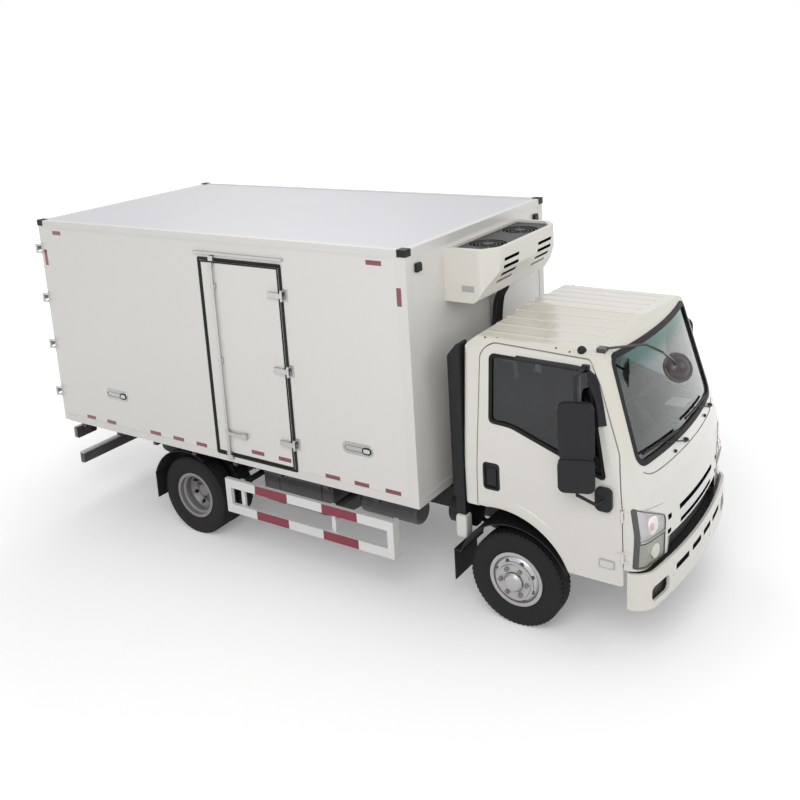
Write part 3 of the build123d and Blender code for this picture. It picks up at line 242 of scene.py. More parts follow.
frame_paint = finish("frame_paint", (0.016, 0.016, 0.018), 0.55, dust=0.45, splash=0.7,
                     dust_colour=(0.14, 0.13, 0.115))
cast_iron = finish("cast_iron", (0.055, 0.052, 0.050), 0.7, metal=0.5, dust=0.9, splash=0.8,
                   dust_colour=(0.24, 0.20, 0.16), grain=120.0, depth=0.0006)
dress(frame_paint, "chassis_frame", "battery_box")
dress(cast_iron, "front_axle", "rear_axle", "knuckle_left", "knuckle_right", "tie_rod", "propeller_shaft")
dress(finish("engine_metal", (0.12, 0.12, 0.125), 0.6, metal=0.7, dust=0.9, splash=0.9, grain=90.0,
             depth=0.0008), "engine_and_gearbox")
dress(finish("tank_paint", (0.040, 0.040, 0.044), 0.42, coat=0.2, dust=0.6), "fuel_tank", "air_tank")
dress(finish("exhaust_steel", (0.30, 0.27, 0.24), 0.5, metal=0.9, dust=0.8, dust_colour=(0.20, 0.11, 0.06),
             patch=9.0), "exhaust")


# Tyres: vulcanised rubber with four tread grooves, cross cuts at the shoulders and moulded rings on
# the side walls. The twins carry the same tyre.
front_axle = 1.936
rear_axle = front_axle - 3.36
tyre_radius = 0.390
front_wheel_y = 0.836
twin_y = (0.710, 0.946)
sharp_edge = np.radians(38)          # faces that meet more steeply than this keep a sharp edge


def sweep(rings, closed=False):
    """Points and faces of a closed surface: row i of the array is a closed ring, and rings[i, j] joins
    rings[i + 1, j]. A surface that isn't closed along its rows gets a fan to the middle of each end."""
    count, size = rings.shape[:2]
    rows = np.arange(count if closed else count - 1)[:, None] * size
    ahead = (rows + size) % (count * size)
    around = np.arange(size)[None, :]
    nearby = (around + 1) % size
    quads = np.stack([rows + around, rows + nearby, ahead + nearby, ahead + around], -1).reshape(-1, 4)
    points = rings.reshape(-1, 3)
    faces = quads.tolist()
    if not closed:
        ends = np.stack([rings[0].mean(0), rings[-1].mean(0)])
        points = np.concatenate([points, ends])
        base = count * size
        edge = np.arange(size)
        step = (edge + 1) % size
        last = (count - 1) * size
        faces += np.stack([step, edge, np.full(size, base)], -1).tolist()
        faces += np.stack([last + edge, last + step, np.full(size, base + 1)], -1).tolist()
    return points, faces


def made(name, shapes, body, material, smooth=True):
    """One object from several closed shapes of points and faces, facing outwards, riding on a body.
    A shape's signed volume is the sum over its faces of corner . (corner x corner) / 6."""
    points, faces, start = [], [], 0
    for shape_points, shape_faces in shapes:
        corners = np.array([face[:3] for face in shape_faces])
        thirds = np.array([(face[0], face[2], face[3]) for face in shape_faces if len(face) == 4])
        triangles = np.concatenate([corners, thirds]) if len(thirds) else corners
        a, b, c = (shape_points[triangles[:, i]] for i in range(3))
        inside_out = np.einsum("ij,ij->i", a, np.cross(b, c)).sum() < 0
        faces += [[start + i for i in (face[::-1] if inside_out else face)] for face in shape_faces]
        points.append(shape_points)
        start += len(shape_points)
    mesh = bpy.data.meshes.new(name)
    mesh.from_pydata(np.concatenate(points).tolist(), [], faces)
    mesh.polygons.foreach_set("use_smooth", np.full(len(mesh.polygons), smooth))
    mesh.materials.append(material)
    mesh.update()
    piece = bpy.data.objects.new(name, mesh)
    scene.collection.objects.link(piece)
    if smooth:
        mesh.set_sharp_from_angle(angle=sharp_edge)
    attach(piece, body)
    return piece


def tyre_shape(x, y):
    """Tyre on an axle at x, its middle at y, as radius over two parameters: the angle round the axle,
    and the way along the section. The side wall bows out as a parabola; the tread's radius drops by
    the depth of whichever groove passes, and at the shoulders by a square wave of the angle."""
    stations = 240
    turn = np.linspace(0, 2 * np.pi, stations, endpoint=False)[:, None]
    wall = np.linspace(0.231, 0.374, 13)
    bow = 0.0747 + (wall - 0.229) * 0.55 - (wall - 0.229) ** 2 * 3.07
    bow += 0.0016 * np.exp(-((wall - 0.250) / 0.006) ** 2)
    across_tread = 53
    tread = np.linspace(0.078, -0.078, across_tread)
    out = np.concatenate([[0.070, 0.0745], bow, [0.083], tread, [-0.083], -bow[::-1], [-0.0745, -0.070]])
    radius = np.concatenate([[0.2043, 0.227], wall, [0.382], np.full(across_tread, tyre_radius), [0.382],
                             wall[::-1], [0.227, 0.2043]])
    wave = 0.0035 * np.sin(turn * 45)
    depth = np.zeros((stations, len(out)))
    for groove in (-0.047, -0.016, 0.016, 0.047):
        depth = np.maximum(depth, np.clip((0.0052 - np.abs(out[None, :] - groove - wave)) / 0.0018, 0, 1))
    cuts = np.clip(np.sin(turn * 60) * 4 - 2.2, 0, 1)
    depth = np.maximum(depth, 0.8 * cuts * (np.abs(out[None, :]) > 0.052))
    depth = 0.010 * depth * (radius[None, :] > 0.38)
    reach = radius[None, :] - depth - 0.0005 * (np.abs(out[None, :]) > 0.07)
    places = [x + reach * np.sin(turn), np.broadcast_to(y + out, reach.shape),
              tyre_radius + reach * np.cos(turn)]
    return sweep(np.stack(places, -1), closed=True)


rubber = finish("rubber", (0.010, 0.010, 0.011), 0.72, dust=0.40, splash=0.5,
                dust_colour=(0.055, 0.050, 0.045), patch=6.0, grain=400.0, depth=0.0003)
tyre_rows = (("front_tyre_left", "front_wheel_left", front_axle, (front_wheel_y,)),
             ("front_tyre_right", "front_wheel_right", front_axle, (-front_wheel_y,)),
             ("rear_tyres_left", "rear_wheels_left", rear_axle, twin_y),
             ("rear_tyres_right", "rear_wheels_right", rear_axle, (-twin_y[0], -twin_y[1])))
for node, body, x, middles in tyre_rows:
    tyre = made(node + "_tread", [tyre_shape(x, y) for y in middles], body, rubber)
    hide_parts(node)


# Wheels: pressed steel, painted silver in front and a duller grey behind, each held by six
# hexagonal nuts on its studs. The spare is slung under the frame, its rim picked out in grey inside its own
# black tyre.
nut_circle = 0.1111
nut_half = 0.0175


def nut_shape(x, y, z, tall, side):
    """Hexagonal nut: a six-sided ring that is chamfered at its outer end, where a round stud stands."""
    turn = np.arange(6) * np.pi / 3
    rows = ((0.0, 1.15), (tall - 0.004, 1.15), (tall, 0.92), (tall, 0.55), (tall + 0.008, 0.55),
            (tall + 0.009, 0.4))
    rings = [np.stack([x + nut_half * wide * np.cos(turn), np.full(6, y + side * out),
                       z + nut_half * wide * np.sin(turn)], -1) for out, wide in rows]
    return sweep(np.array(rings))


silver = finish("wheel_silver", (0.50, 0.50, 0.51), 0.38, metal=0.75, coat=0.15, dust=0.5, splash=0.5,
                patch=9.0)
wheel_grey = finish("wheel_grey", (0.27, 0.27, 0.28), 0.5, metal=0.5, dust=0.8, splash=0.6, patch=9.0)
dress(silver, "front_wheel_left", "front_wheel_right")
dress(wheel_grey, "rear_wheels_left", "rear_wheels_right")
nut_steel = finish("nut_steel", (0.30, 0.29, 0.28), 0.45, metal=0.9, dust=0.7, splash=0.6)
# wheels: (name, axle, the disc's face from the truck's middle, height of a nut)
wheel_rows = (("front_wheel", front_axle, front_wheel_y + 0.118, 0.022),
              ("rear_wheels", rear_axle, 0.840, 0.024))
turns = np.arange(6) * np.pi / 3
for name, x, face, tall in wheel_rows:
    for side, label in ((1, "left"), (-1, "right")):
        nuts = [nut_shape(x + nut_circle * np.cos(a), side * face, tyre_radius + nut_circle * np.sin(a), tall,
                          side) for a in turns]
        nut_set = made(f"{name}_{label}_nuts", nuts, f"{name}_{label}", nut_steel, smooth=False)


def placed_mask(tree, axis, low, high):
    """1 where the Object coordinate on an axis lies between two values, in metres."""
    value = object_axes(tree)[axis]
    above = sum_node(tree, "GREATER_THAN", value, low)
    below = sum_node(tree, "LESS_THAN", value, high)
    return sum_node(tree, "MULTIPLY", above, below)


def near_mask(tree, point, radius):
    """1 where the Object coordinates lie within a radius of a point."""
    away = tree.nodes.new("ShaderNodeVectorMath")
    away.operation = "DISTANCE"
    away.inputs[1].default_value = point
    tree.links.new(object_place(tree), away.inputs[0])
    return sum_node(tree, "LESS_THAN", away.outputs["Value"], radius)


def recolour(material, mask, colour, metal=None):
    """Lays a second colour, and its metal if it has one, over a finish where a mask is 1."""
    tree = material.node_tree
    shader = tree.nodes["Principled BSDF"]
    under = shader.inputs["Base Color"].links[0].from_socket
    tree.links.new(blend_node(tree, mask, under, colour), shader.inputs["Base Color"])
    if metal is not None:
        tree.links.new(sum_node(tree, "MULTIPLY", mask, metal), shader.inputs["Metallic"])


spare_finish = finish("spare_finish", (0.012, 0.012, 0.013), 0.7, dust=0.6, splash=0.7,
                      dust_colour=(0.10, 0.09, 0.08))
spare_middle = (front_axle - 4.330, 0, 0.452)
rim_reach = 0.228
spare_rim = near_mask(spare_finish.node_tree, spare_middle, rim_reach)
recolour(spare_finish, spare_rim, (0.2, 0.2, 0.21), 0.5)
dress(spare_finish, "spare_wheel")


# Mudguards and the intake duct behind the cab: black moulded plastic, grained, with rubber flaps.
moulded_black = finish("moulded_black", (0.010, 0.010, 0.012), 0.50, dust=0.25, splash=0.8, grain=500.0,
                       depth=0.0004, dust_colour=(0.09, 0.085, 0.075))
dress(moulded_black, "mudguards", "air_intake")
for dull in (moulded_black, rubber):
    dull.node_tree.nodes["Principled BSDF"].inputs["Specular IOR Level"].default_value = 0.28


# Side guards: pressed rails in white paint with red reflecting bands, and the rear underrun bar,
# black with a white strip along its top.
guard_paint = finish("guard_paint", (0.74, 0.74, 0.73), 0.35, coat=0.3, dust=0.25, splash=0.5)
tree = guard_paint.node_tree
red_bands = sum_node(tree, "ADD", placed_mask(tree, "X", -0.520, -0.150),
                     placed_mask(tree, "X", 0.232, 0.602))
on_a_rail = sum_node(tree, "ADD", placed_mask(tree, "Z", 0.412, 0.496),
                     placed_mask(tree, "Z", 0.658, 0.742))
outer_right = placed_mask(tree, "Y", -1.16, -1.105)
outer_left = placed_mask(tree, "Y", 1.105, 1.16)
red_mask = sum_node(tree, "MULTIPLY", red_bands, sum_node(tree, "ADD", outer_right, outer_left))
red_mask = sum_node(tree, "MULTIPLY", red_mask, on_a_rail)
recolour(guard_paint, red_mask, (0.22, 0.008, 0.030))
bracket_mask = placed_mask(tree, "Y", -1.089, 1.089)
guard_return = placed_mask(tree, "X", 0.90, 1.00)
bracket_mask = sum_node(tree, "MULTIPLY", bracket_mask, sum_node(tree, "SUBTRACT", 1.0, guard_return))
recolour(guard_paint, bracket_mask, (0.03, 0.03, 0.032))
dress(guard_paint, "side_guards")
underrun_paint = finish("underrun_paint", (0.035, 0.035, 0.037), 0.45, dust=0.6, splash=0.5)
recolour(underrun_paint, placed_mask(underrun_paint.node_tree, "Z", 0.535, 0.552), (0.62, 0.62, 0.61))
dress(underrun_paint, "underrun_bar")


# The refrigerated box: smooth glass-fibre panels, nearly white, with a greyer roof, between edge
# extrusions of the same white, and black caps on its four top corners.
box_rear = front_axle - 4.992
box_front = box_rear + 4.302
box_half = 1.1725
panel_half = 1.1685
door_face = 1.1785                   # outer face of the side door's leaf
panel_colour = (0.72, 0.705, 0.675)
edge_colour = (0.70, 0.69, 0.665)
panel_surface = {"coat": 0.35, "grain": 60.0, "depth": 0.00025, "dust_colour": (0.5, 0.47, 0.42)}
panel_white = finish("panel_white", panel_colour, 0.30, dust=0.06, splash=1.4, patch=1.2, **panel_surface)
roof_grey = finish("roof_grey", (0.60, 0.59, 0.63), 0.35, coat=0.2, dust=0.25, splash=1.4, patch=1.5,
                   grain=60.0, depth=0.0004, dust_colour=(0.50, 0.46, 0.52))
edge_white = finish("edge_white", edge_colour, 0.32, coat=0.3, dust=0.15, splash=1.1)
dress(panel_white, "box_wall_left", "box_wall_right", "box_wall_front", "rear_frame")
recolour(roof_grey, placed_mask(roof_grey.node_tree, "Z", 0.0, 2.999), edge_colour)
dress(roof_grey, "box_roof")
dress(edge_white, "edge_rails")
dress(moulded_black, "corner_castings")
floor_metal = finish("floor_metal", (0.30, 0.31, 0.32), 0.4, metal=0.8, dust=0.4)
recolour(floor_metal, placed_mask(floor_metal.node_tree, "Z", 0.0, 0.945), (0.045, 0.045, 0.048), 0.3)
dress(floor_metal, "box_floor")
dress(finish("evaporator_white", (0.70, 0.71, 0.72), 0.4, dust=0.05), "evaporator")


# Reflecting marks: strips of dark red and pale sheeting, a prism pattern under a clear face, stuck
# along the foot of each side, up the corner posts, under the roof rail and across the rear.
def corner_ways(rows):
    """Corners, the unit ways back and ahead along their sides, and half the angle between these."""
    corner = rows[:, :2]
    back = np.roll(corner, 1, 0) - corner
    ahead = np.roll(corner, -1, 0) - corner
    back /= np.linalg.norm(back, axis=1, keepdims=True)
    ahead /= np.linalg.norm(ahead, axis=1, keepdims=True)
    half = np.arccos(np.clip((back * ahead).sum(1, keepdims=True), -1, 1)) / 2
    return corner, back, ahead, half


def rounded(rows, steps=6):
    """Closed outline through corners (across, up, radius). Between its tangent points a corner is an
    arc: v(s) = (sin((1 - s) w) v0 + sin(s w) v1) / sin w about the arc's centre, w its angle."""
    rows = np.array(rows, float)
    corner, back, ahead, half = corner_ways(rows)
    radius = np.maximum(rows[:, 2:], 1e-4)
    middle = back + ahead
    centre = corner + middle / np.linalg.norm(middle, axis=1, keepdims=True) * radius / np.sin(half)
    start = corner + back * radius / np.tan(half) - centre
    stop = corner + ahead * radius / np.tan(half) - centre
    sweep_angle = (np.pi - 2 * half)[:, None, :]
    share = np.linspace(0, 1, steps)[None, :, None]
    arc = np.sin((1 - share) * sweep_angle) * start[:, None, :]
    arc = arc + np.sin(share * sweep_angle) * stop[:, None, :]
    return (centre[:, None, :] + arc / np.sin(sweep_angle)).reshape(-1, 2)


def inset(rows, margin):
    """Corners moved in by margin on every side, along the halving line of each corner."""
    rows = np.array(rows, float)
    corner, back, ahead, half = corner_ways(rows)
    turning = ahead[:, 0] * back[:, 1] - ahead[:, 1] * back[:, 0]
    area = (corner[:, 0] * np.roll(corner[:, 1], -1) - corner[:, 1] * np.roll(corner[:, 0], -1)).sum()
    convex = np.sign(turning * area)[:, None]
    middle = (back + ahead) / np.linalg.norm(back + ahead, axis=1, keepdims=True)
    moved = corner + convex * middle * margin / np.sin(half)
    return np.concatenate([moved, np.maximum(rows[:, 2:] - convex * margin, 0.002)], 1)


def box_corners(left, right, low, high, radius):
    """Four corners of an upright rectangle, each rounded."""
    return ((left, low, radius), (right, low, radius), (right, high, radius), (left, high, radius))


def patch(outline, place, near, far, edge=0.0008):
    """Flat or bent plate over an outline: rings shrink to its middle on both faces. place(across_up,
    depth) gives the surface; near is the depth of its seat and far that of its face."""
    middle = outline.mean(0)
    rings = [place(middle + (outline - middle) * share, near) for share in (0.02, 0.5, 1.0)]
    rings.append(place(outline, far + np.sign(near - far) * edge))
    size = np.abs(outline - middle).max()
    rings += [place(middle + (outline - middle) * share, far) for share in (1 - edge / size, 0.6, 0.3, 0.02)]
    return sweep(np.array(rings))


def between(outer, inner, place, near, far):
    """Closed border between two outlines with as many points, from one depth to another."""
    rings = [place(outer, near), place(outer, far), place(inner, far), place(inner, near)]
    return sweep(np.array(rings), closed=True)


def band(corners, width, place, near, far):
    """Closed border of a given width inside an outline, between two depths."""
    return between(rounded(corners), rounded(inset(corners, width)), place, near, far)


def right_plane(y):
    """Upright plane on the right side; depth runs inwards."""
    return lambda flat, depth: np.stack([flat[:, 0], np.full(len(flat), y + depth), flat[:, 1]], -1)


def rear_plane(x):
    """Upright plane across the rear; depth runs forwards."""
    return lambda flat, depth: np.stack([np.full(len(flat), x + depth), flat[:, 0], flat[:, 1]], -1)


def mirrored(shape):
    """The same shape on the other side."""
    points, faces = shape
    return points * np.array([1, -1, 1]), faces


def both(shapes):
    """Shapes of the right side, and the same on the left."""
    return shapes + [mirrored(shape) for shape in shapes]


def reflector(name, colour):
    """Reflecting sheet: small cells from a Voronoi pattern under a clear coat."""
    material = finish(name, colour, 0.25, coat=1.0, dust=0.1, splash=1.2)
    tree = material.node_tree
    cells = tree.nodes.new("ShaderNodeTexVoronoi")
    cells.inputs["Scale"].default_value = 260
    tree.links.new(object_place(tree), cells.inputs["Vector"])
    tree.links.new(cells.outputs["Distance"], tree.nodes["grain"].inputs["Height"])
    return material


mark_red = reflector("mark_red", (0.17, 0.006, 0.016))
mark_pale = reflector("mark_pale", (0.70, 0.69, 0.66))
foot_low, foot_high = 1.014, 1.048
sheet_seat, sheet_face = 0.001, -0.0015
# marks on each side: (rear end, front end, low, high, colour, wall's face)
side_marks = [(rear, front, foot_low, foot_high, red, panel_half) for rear, front, red in
              ((-2.70, -2.57, True), (-2.40, -2.27, True), (-2.107, -1.96, False), (-1.785, -1.64, True),
               (-1.475, -1.334, True), (-1.174, -1.04, True), (0.322, 0.475, True), (0.622, 0.768, True),
               (0.928, 1.078, True))]
side_marks += [(-2.850, -2.730, 2.886, 2.924, True, panel_half),
               (0.882, 1.026, 2.886, 2.924, True, panel_half),
               (-3.018, -2.975, 2.57, 2.73, True, panel_half), (1.152, 1.194, 2.585, 2.729, True, box_half)]
for red, name, sheet in ((True, "marks_red", mark_red), (False, "marks_pale", mark_pale)):
    shapes = []
    for rear, front, low, high, is_red, face in side_marks:
        if is_red == red:
            flat = rounded(box_corners(rear, front, low, high, 0.002), 3)
            shapes.append(patch(flat, right_plane(-face), sheet_seat, sheet_face))
    shapes = both(shapes)
    for y in (-1.04, -0.72, -0.40, 0.40, 0.72, 1.04):
        if (abs(y) != 0.72) == red:
            flat = rounded(box_corners(y - 0.07, y + 0.07, 0.985, 1.025, 0.002), 3)
            shapes.append(patch(flat, rear_plane(box_rear), sheet_seat, sheet_face))
    made(name, shapes, "truck", sheet)
door_marks = [patch(rounded(box_corners(rear, front, 1.072, 1.108, 0.002), 3), right_plane(-door_face),
                    sheet_seat, sheet_face) for rear, front in ((-0.482, -0.336), (-0.173, -0.033))]
made("side_door_marks", door_marks, "side_door", mark_red)


# Marker lamps: on each side two pressed stainless plates with round ends, each with a clear lens in a
# black rubber bezel at its front end; and two small black lamps high on the box's front wall.
steel_colour = (0.46, 0.46, 0.45)
stainless = finish("stainless", steel_colour, 0.30, metal=0.9, dust=0.2, splash=1.4, patch=20.0,
                   grain=700.0, depth=0.00005)
clear_lens = finish("clear_lens", (0.62, 0.62, 0.60), 0.12, coat=1.0, dust=0.05)
plate_half = (0.155, 0.052)
plates, lenses, bezels = [], [], []
for x, z in ((0.680, 1.335), (-2.200, 1.335)):
    corners = box_corners(x - plate_half[0], x + plate_half[0], z - plate_half[1], z + plate_half[1], 0.051)
    plates.append(patch(rounded(corners, 10), right_plane(-panel_half), 0.001, -0.004, 0.002))
    plates.append(band(inset(corners, 0.014), 0.006, right_plane(-panel_half), 0.001, -0.0065))
    lens_corners = box_corners(x + 0.058, x + 0.126, z - 0.020, z + 0.020, 0.017)
    lenses.append(patch(rounded(lens_corners, 10), right_plane(-panel_half), -0.001, -0.014, 0.006))
    bezels.append(band(inset(lens_corners, -0.010), 0.011, right_plane(-panel_half), -0.001, -0.011))
    bezels.append(band(inset(corners, 0.030), 0.003, right_plane(-panel_half), -0.001, -0.0055))
made("marker_plates", both(plates), "truck", stainless)
made("marker_bezels", both(bezels), "truck", moulded_black)
made("marker_lenses", both(lenses), "truck", clear_lens)


def front_wall(flat, depth):
    """The box's front wall; depth runs rearwards."""
    return np.stack([np.full(len(flat), box_front - depth), flat[:, 0], flat[:, 1]], -1)


top_lamps = [patch(rounded(box_corners(y - 0.04, y + 0.04, 2.825, 2.895, 0.012)), front_wall, 0.002, -0.024,
                   0.008) for y in (-1.01, 1.01)]
made("top_marker_lamps", top_lamps, "truck", moulded_black)


# Side door: a white leaf with a black rubber seal round it and a steel lock rod, handle and hinge
# straps. The rod, straps and handle belong to the leaf's own solid, and take steel by their depth.
door_rear, door_front, door_low, door_high = front_axle - 2.815, front_axle - 1.935, 1.022, 2.790
fitting_step = 0.0008                # what stands further out than a leaf's face by this is steel
seal_rubber = finish("seal_rubber", (0.008, 0.008, 0.009), 0.6, dust=0.1, grain=600.0, depth=0.0002,
                     dust_colour=(0.08, 0.075, 0.07))
zinc = finish("zinc", (0.50, 0.50, 0.49), 0.35, metal=0.95, dust=0.35, splash=1.2, patch=14.0)
leaf_finish = finish("leaf_finish", panel_colour, 0.30, dust=0.06, splash=1.4, patch=1.2, **panel_surface)
leaf_fittings = placed_mask(leaf_finish.node_tree, "Y", -1.3, -door_face - fitting_step)
recolour(leaf_finish, leaf_fittings, steel_colour, 0.9)
dress(leaf_finish, "side_door")
dress(zinc, "side_door_fittings")
door_corners = box_corners(door_rear, door_front, door_low, door_high, 0.012)
frame_corners = box_corners(door_rear - 0.028, door_front + 0.028, door_low - 0.028, door_high + 0.028, 0.016)
seals = [band(frame_corners, 0.0215, right_plane(-panel_half), 0.001, -0.008)]
made("side_doorway_seal", seals, "truck", seal_rubber)
leaf_seal = [band(inset(door_corners, 0.001), 0.014, right_plane(-door_face), 0.001, -0.0025)]
made("side_door_seal", leaf_seal, "side_door", seal_rubber)


# Rear doors: two leaves in the rear frame, each with its seal, lock rods and straps, and the lamp
# clusters under them, red, amber and clear from the outside in.
rear_face = box_rear - 0.010
rear_leaf_finish = finish("rear_leaf_finish", panel_colour, 0.30, dust=0.10, splash=1.6, **panel_surface)
rear_fittings = placed_mask(rear_leaf_finish.node_tree, "X", -3.4, rear_face - fitting_step)
recolour(rear_leaf_finish, rear_fittings, steel_colour, 0.9)
dress(rear_leaf_finish, "rear_door_left", "rear_door_right")
for side, label in ((1, "left"), (-1, "right")):
    edges = sorted((side * 0.0052, side * 1.0915))
    leaf_corners = box_corners(edges[0], edges[1], 1.0755, 2.919, 0.012)
    seal = [band(leaf_corners, 0.014, rear_plane(rear_face), 0.001, -0.0025)]
    made(f"rear_door_{label}_seal", seal, f"rear_door_{label}", seal_rubber)
lamp_finish = finish("lamp_finish", (0.30, 0.010, 0.012), 0.15, coat=1.0, dust=0.3, splash=0.9)
tree = lamp_finish.node_tree
amber = sum_node(tree, "ADD", placed_mask(tree, "Y", 0.955, 1.02), placed_mask(tree, "Y", -1.02, -0.955))
recolour(lamp_finish, amber, (0.70, 0.20, 0.01))
clear = sum_node(tree, "ADD", placed_mask(tree, "Y", 0.84, 0.925), placed_mask(tree, "Y", -0.925, -0.84))
recolour(lamp_finish, clear, (0.66, 0.66, 0.64))
recolour(lamp_finish, placed_mask(tree, "X", box_rear + 0.035, 0.0), (0.025, 0.025, 0.027))
dress(lamp_finish, "rear_lamps")


# Cooling unit: a moulded white housing whose front slots are painted near black inside as their shade,
# and a black mesh over the fans in its open top. A bare grey plate is on its side, and hoses drop behind it.
unit_white = finish("unit_white", (0.69, 0.675, 0.62), 0.32, coat=0.3, dust=0.1, splash=2.0,
                    dust_colour=(0.45, 0.42, 0.36))
tree = unit_white.node_tree
slots = None
for row in range(4):
    middle = 2.820 - row * 0.062
    slot = placed_mask(tree, "Z", middle - 0.0135, middle + 0.0135)
    slots = slot if slots is None else sum_node(tree, "ADD", slots, slot)
slot_right = placed_mask(tree, "Y", -0.4265, -0.1735)
slot_left = placed_mask(tree, "Y", 0.1735, 0.4265)
slots = sum_node(tree, "MULTIPLY", slots, sum_node(tree, "ADD", slot_right, slot_left))
slots = sum_node(tree, "MULTIPLY", slots, placed_mask(tree, "X", box_front + 0.20, box_front + 0.60))
# the insides of the front slots take painted shade, near black
recolour(unit_white, slots, (0.012, 0.012, 0.013))
dress(unit_white, "cooling_unit")
dress(finish("mesh_black", (0.018, 0.018, 0.020), 0.55, dust=0.3, splash=2.4), "condenser_grille")
plate_grey = finish("plate_grey", (0.42, 0.42, 0.43), 0.4, metal=0.4, dust=0.1)
unit_plate = [patch(rounded(box_corners(box_front + 0.15, box_front + 0.26, 2.585, 2.635, 0.004)),
                    right_plane(-0.620), 0.001, -0.0015)]
made("unit_side_plate", unit_plate, "truck", plate_grey)


def curve_through(points, steps=8):
    """Smooth path through points: a Catmull-Rom cubic on each run, worked out for all runs at once."""
    points = np.array(points, float)
    padded = np.concatenate([2 * points[:1] - points[1:2], points, 2 * points[-1:] - points[-2:-1]])
    a, b, c, d = (padded[i:len(padded) - 3 + i, None, :] for i in range(4))
    t = np.linspace(0, 1, steps, endpoint=False)[None, :, None]
    run = 0.5 * (2 * b + (c - a) * t + (2 * a - 5 * b + 4 * c - d) * t ** 2
                 + (3 * b - a - 3 * c + d) * t ** 3)
    return np.concatenate([run.reshape(-1, 3), points[-1:]])


def tube(path, radius, aside=(0.0, 0.0, 1.0), squash=1.0, steps=14):
    """Round or oval section carried along a path; squash is its height over its width, and aside is
    roughly the way its height runs."""
    along = np.gradient(path, axis=0)
    along /= np.linalg.norm(along, axis=1, keepdims=True)
    wide = np.cross(along, np.array(aside))
    wide /= np.linalg.norm(wide, axis=1, keepdims=True)
    tall = np.cross(wide, along)
    turn = np.linspace(0, 2 * np.pi, steps, endpoint=False)[None, :, None]
    radius = np.broadcast_to(radius, len(path))[:, None, None]
    section = np.cos(turn) * wide[:, None, :] + squash * np.sin(turn) * tall[:, None, :]
    return sweep(path[:, None, :] + radius * section)


hose_rubber = finish("hose_rubber", (0.012, 0.011, 0.010), 0.6, dust=0.2, splash=2.4, grain=300.0,
                     depth=0.0004, dust_colour=(0.10, 0.08, 0.06))
unit_hoses = []
for y in (0.12, 0.18, 0.24):
    drop = curve_through(((box_front + 0.10, y, 2.505), (box_front + 0.10, y, 2.42),
                          (box_front + 0.045, y, 2.30),
                          (box_front + 0.022, y - 0.01, 2.0), (box_front + 0.022, y - 0.02, 1.4),
                          (box_front + 0.022, y - 0.02, 0.96)))
    unit_hoses.append(tube(drop, 0.018, aside=(1.0, 0.0, 0.0)))
made("unit_hoses", unit_hoses, "truck", hose_rubber)


# Cab: steel panels in cream white, with grey lining inside. The lining is what lies deeper than the
# panel's outer face, worked out from the cab's own bowed front, leaning sides and crowned roof.
bow_back = 3.670                     # how far the bow's axis lies behind the front axle
bow_axis = front_axle - bow_back
bow_fall = 0.104                     # how far the front falls back by the bow, times y squared
cab_rear = front_axle - 0.385
roof_crest, roof_fall = 2.365, 0.0646
corner_turn = 0.130                  # radius of the round corner between front and side
lining_wall = 0.042                  # panel thickness under the paint; what lies deeper is lining
level_heights = (0.480, 1.030, 1.300, 1.500, 2.450)
level_fronts = (1.110, 1.130, 1.092, 1.036, 0.761)
level_halves = (0.965, 0.994, 0.998, 0.986, 0.901)
lining, lining_in, lining_out = new_group("cab_lining", (("Wall", "Float", 0.02),), (("Mask", "Float"),))
cab_axes = object_axes(lining)
across = sum_node(lining, "ABSOLUTE", cab_axes["Y"], 0.0)


def stepped(tree, height, values):
    """Value that runs straight from level to level of the cab, as a sum of clamped ramps."""
    total = values[0]
    for low, high, start, stop in zip(level_heights, level_heights[1:], values, values[1:]):
        total = sum_node(tree, "ADD", total, ramp_node(tree, height, low, high, 0.0, stop - start))
    return total


side_depth = sum_node(lining, "SUBTRACT", stepped(lining, cab_axes["Z"], level_halves), across)
front_x = sum_node(lining, "ADD", stepped(lining, cab_axes["Z"], level_fronts), front_axle)
bowed = sum_node(lining, "MULTIPLY", sum_node(lining, "MULTIPLY", across, across), bow_fall)
front_depth = sum_node(lining, "SUBTRACT", sum_node(lining, "SUBTRACT", front_x, bowed), cab_axes["X"])
roof_z = sum_node(lining, "SUBTRACT", roof_crest, sum_node(lining, "MULTIPLY", across, roof_fall))
roof_depth = sum_node(lining, "SUBTRACT", roof_z, cab_axes["Z"])
rear_depth = sum_node(lining, "SUBTRACT", cab_axes["X"], cab_rear)
depth = sum_node(lining, "MINIMUM", sum_node(lining, "MINIMUM", side_depth, front_depth),
                 sum_node(lining, "MINIMUM", roof_depth, rear_depth))


def edge_depth(tree, out, out_pull, out_edge, height, height_pull, height_edge):
    """Depth under a slanting edge: out_pull * (out_edge - out) + height_pull * (height_edge - height)."""
    out_part = sum_node(tree, "MULTIPLY", sum_node(tree, "SUBTRACT", out_edge, out), out_pull)
    height_part = sum_node(tree, "MULTIPLY", sum_node(tree, "SUBTRACT", height_edge, height), height_pull)
    return sum_node(tree, "ADD", out_part, height_part)


roof_side = edge_depth(lining, across, 0.6015, 0.905, cab_axes["Z"], 0.7989, 2.248)
straightened = sum_node(lining, "ADD", cab_axes["X"], bowed)
roof_front = edge_depth(lining, straightened, 0.528, front_axle + 0.780, cab_axes["Z"], 0.849, 2.310)
roof_rear = edge_depth(lining, cab_axes["X"], -0.634, cab_rear + 0.020, cab_axes["Z"], 0.773, 2.270)
depth = sum_node(lining, "MINIMUM", depth, sum_node(lining, "MINIMUM", roof_side, roof_front))
depth = sum_node(lining, "MINIMUM", depth, roof_rear)
inner_side = sum_node(lining, "GREATER_THAN", depth, lining_in.outputs["Wall"])
lining.links.new(inner_side, lining_out.inputs["Mask"])


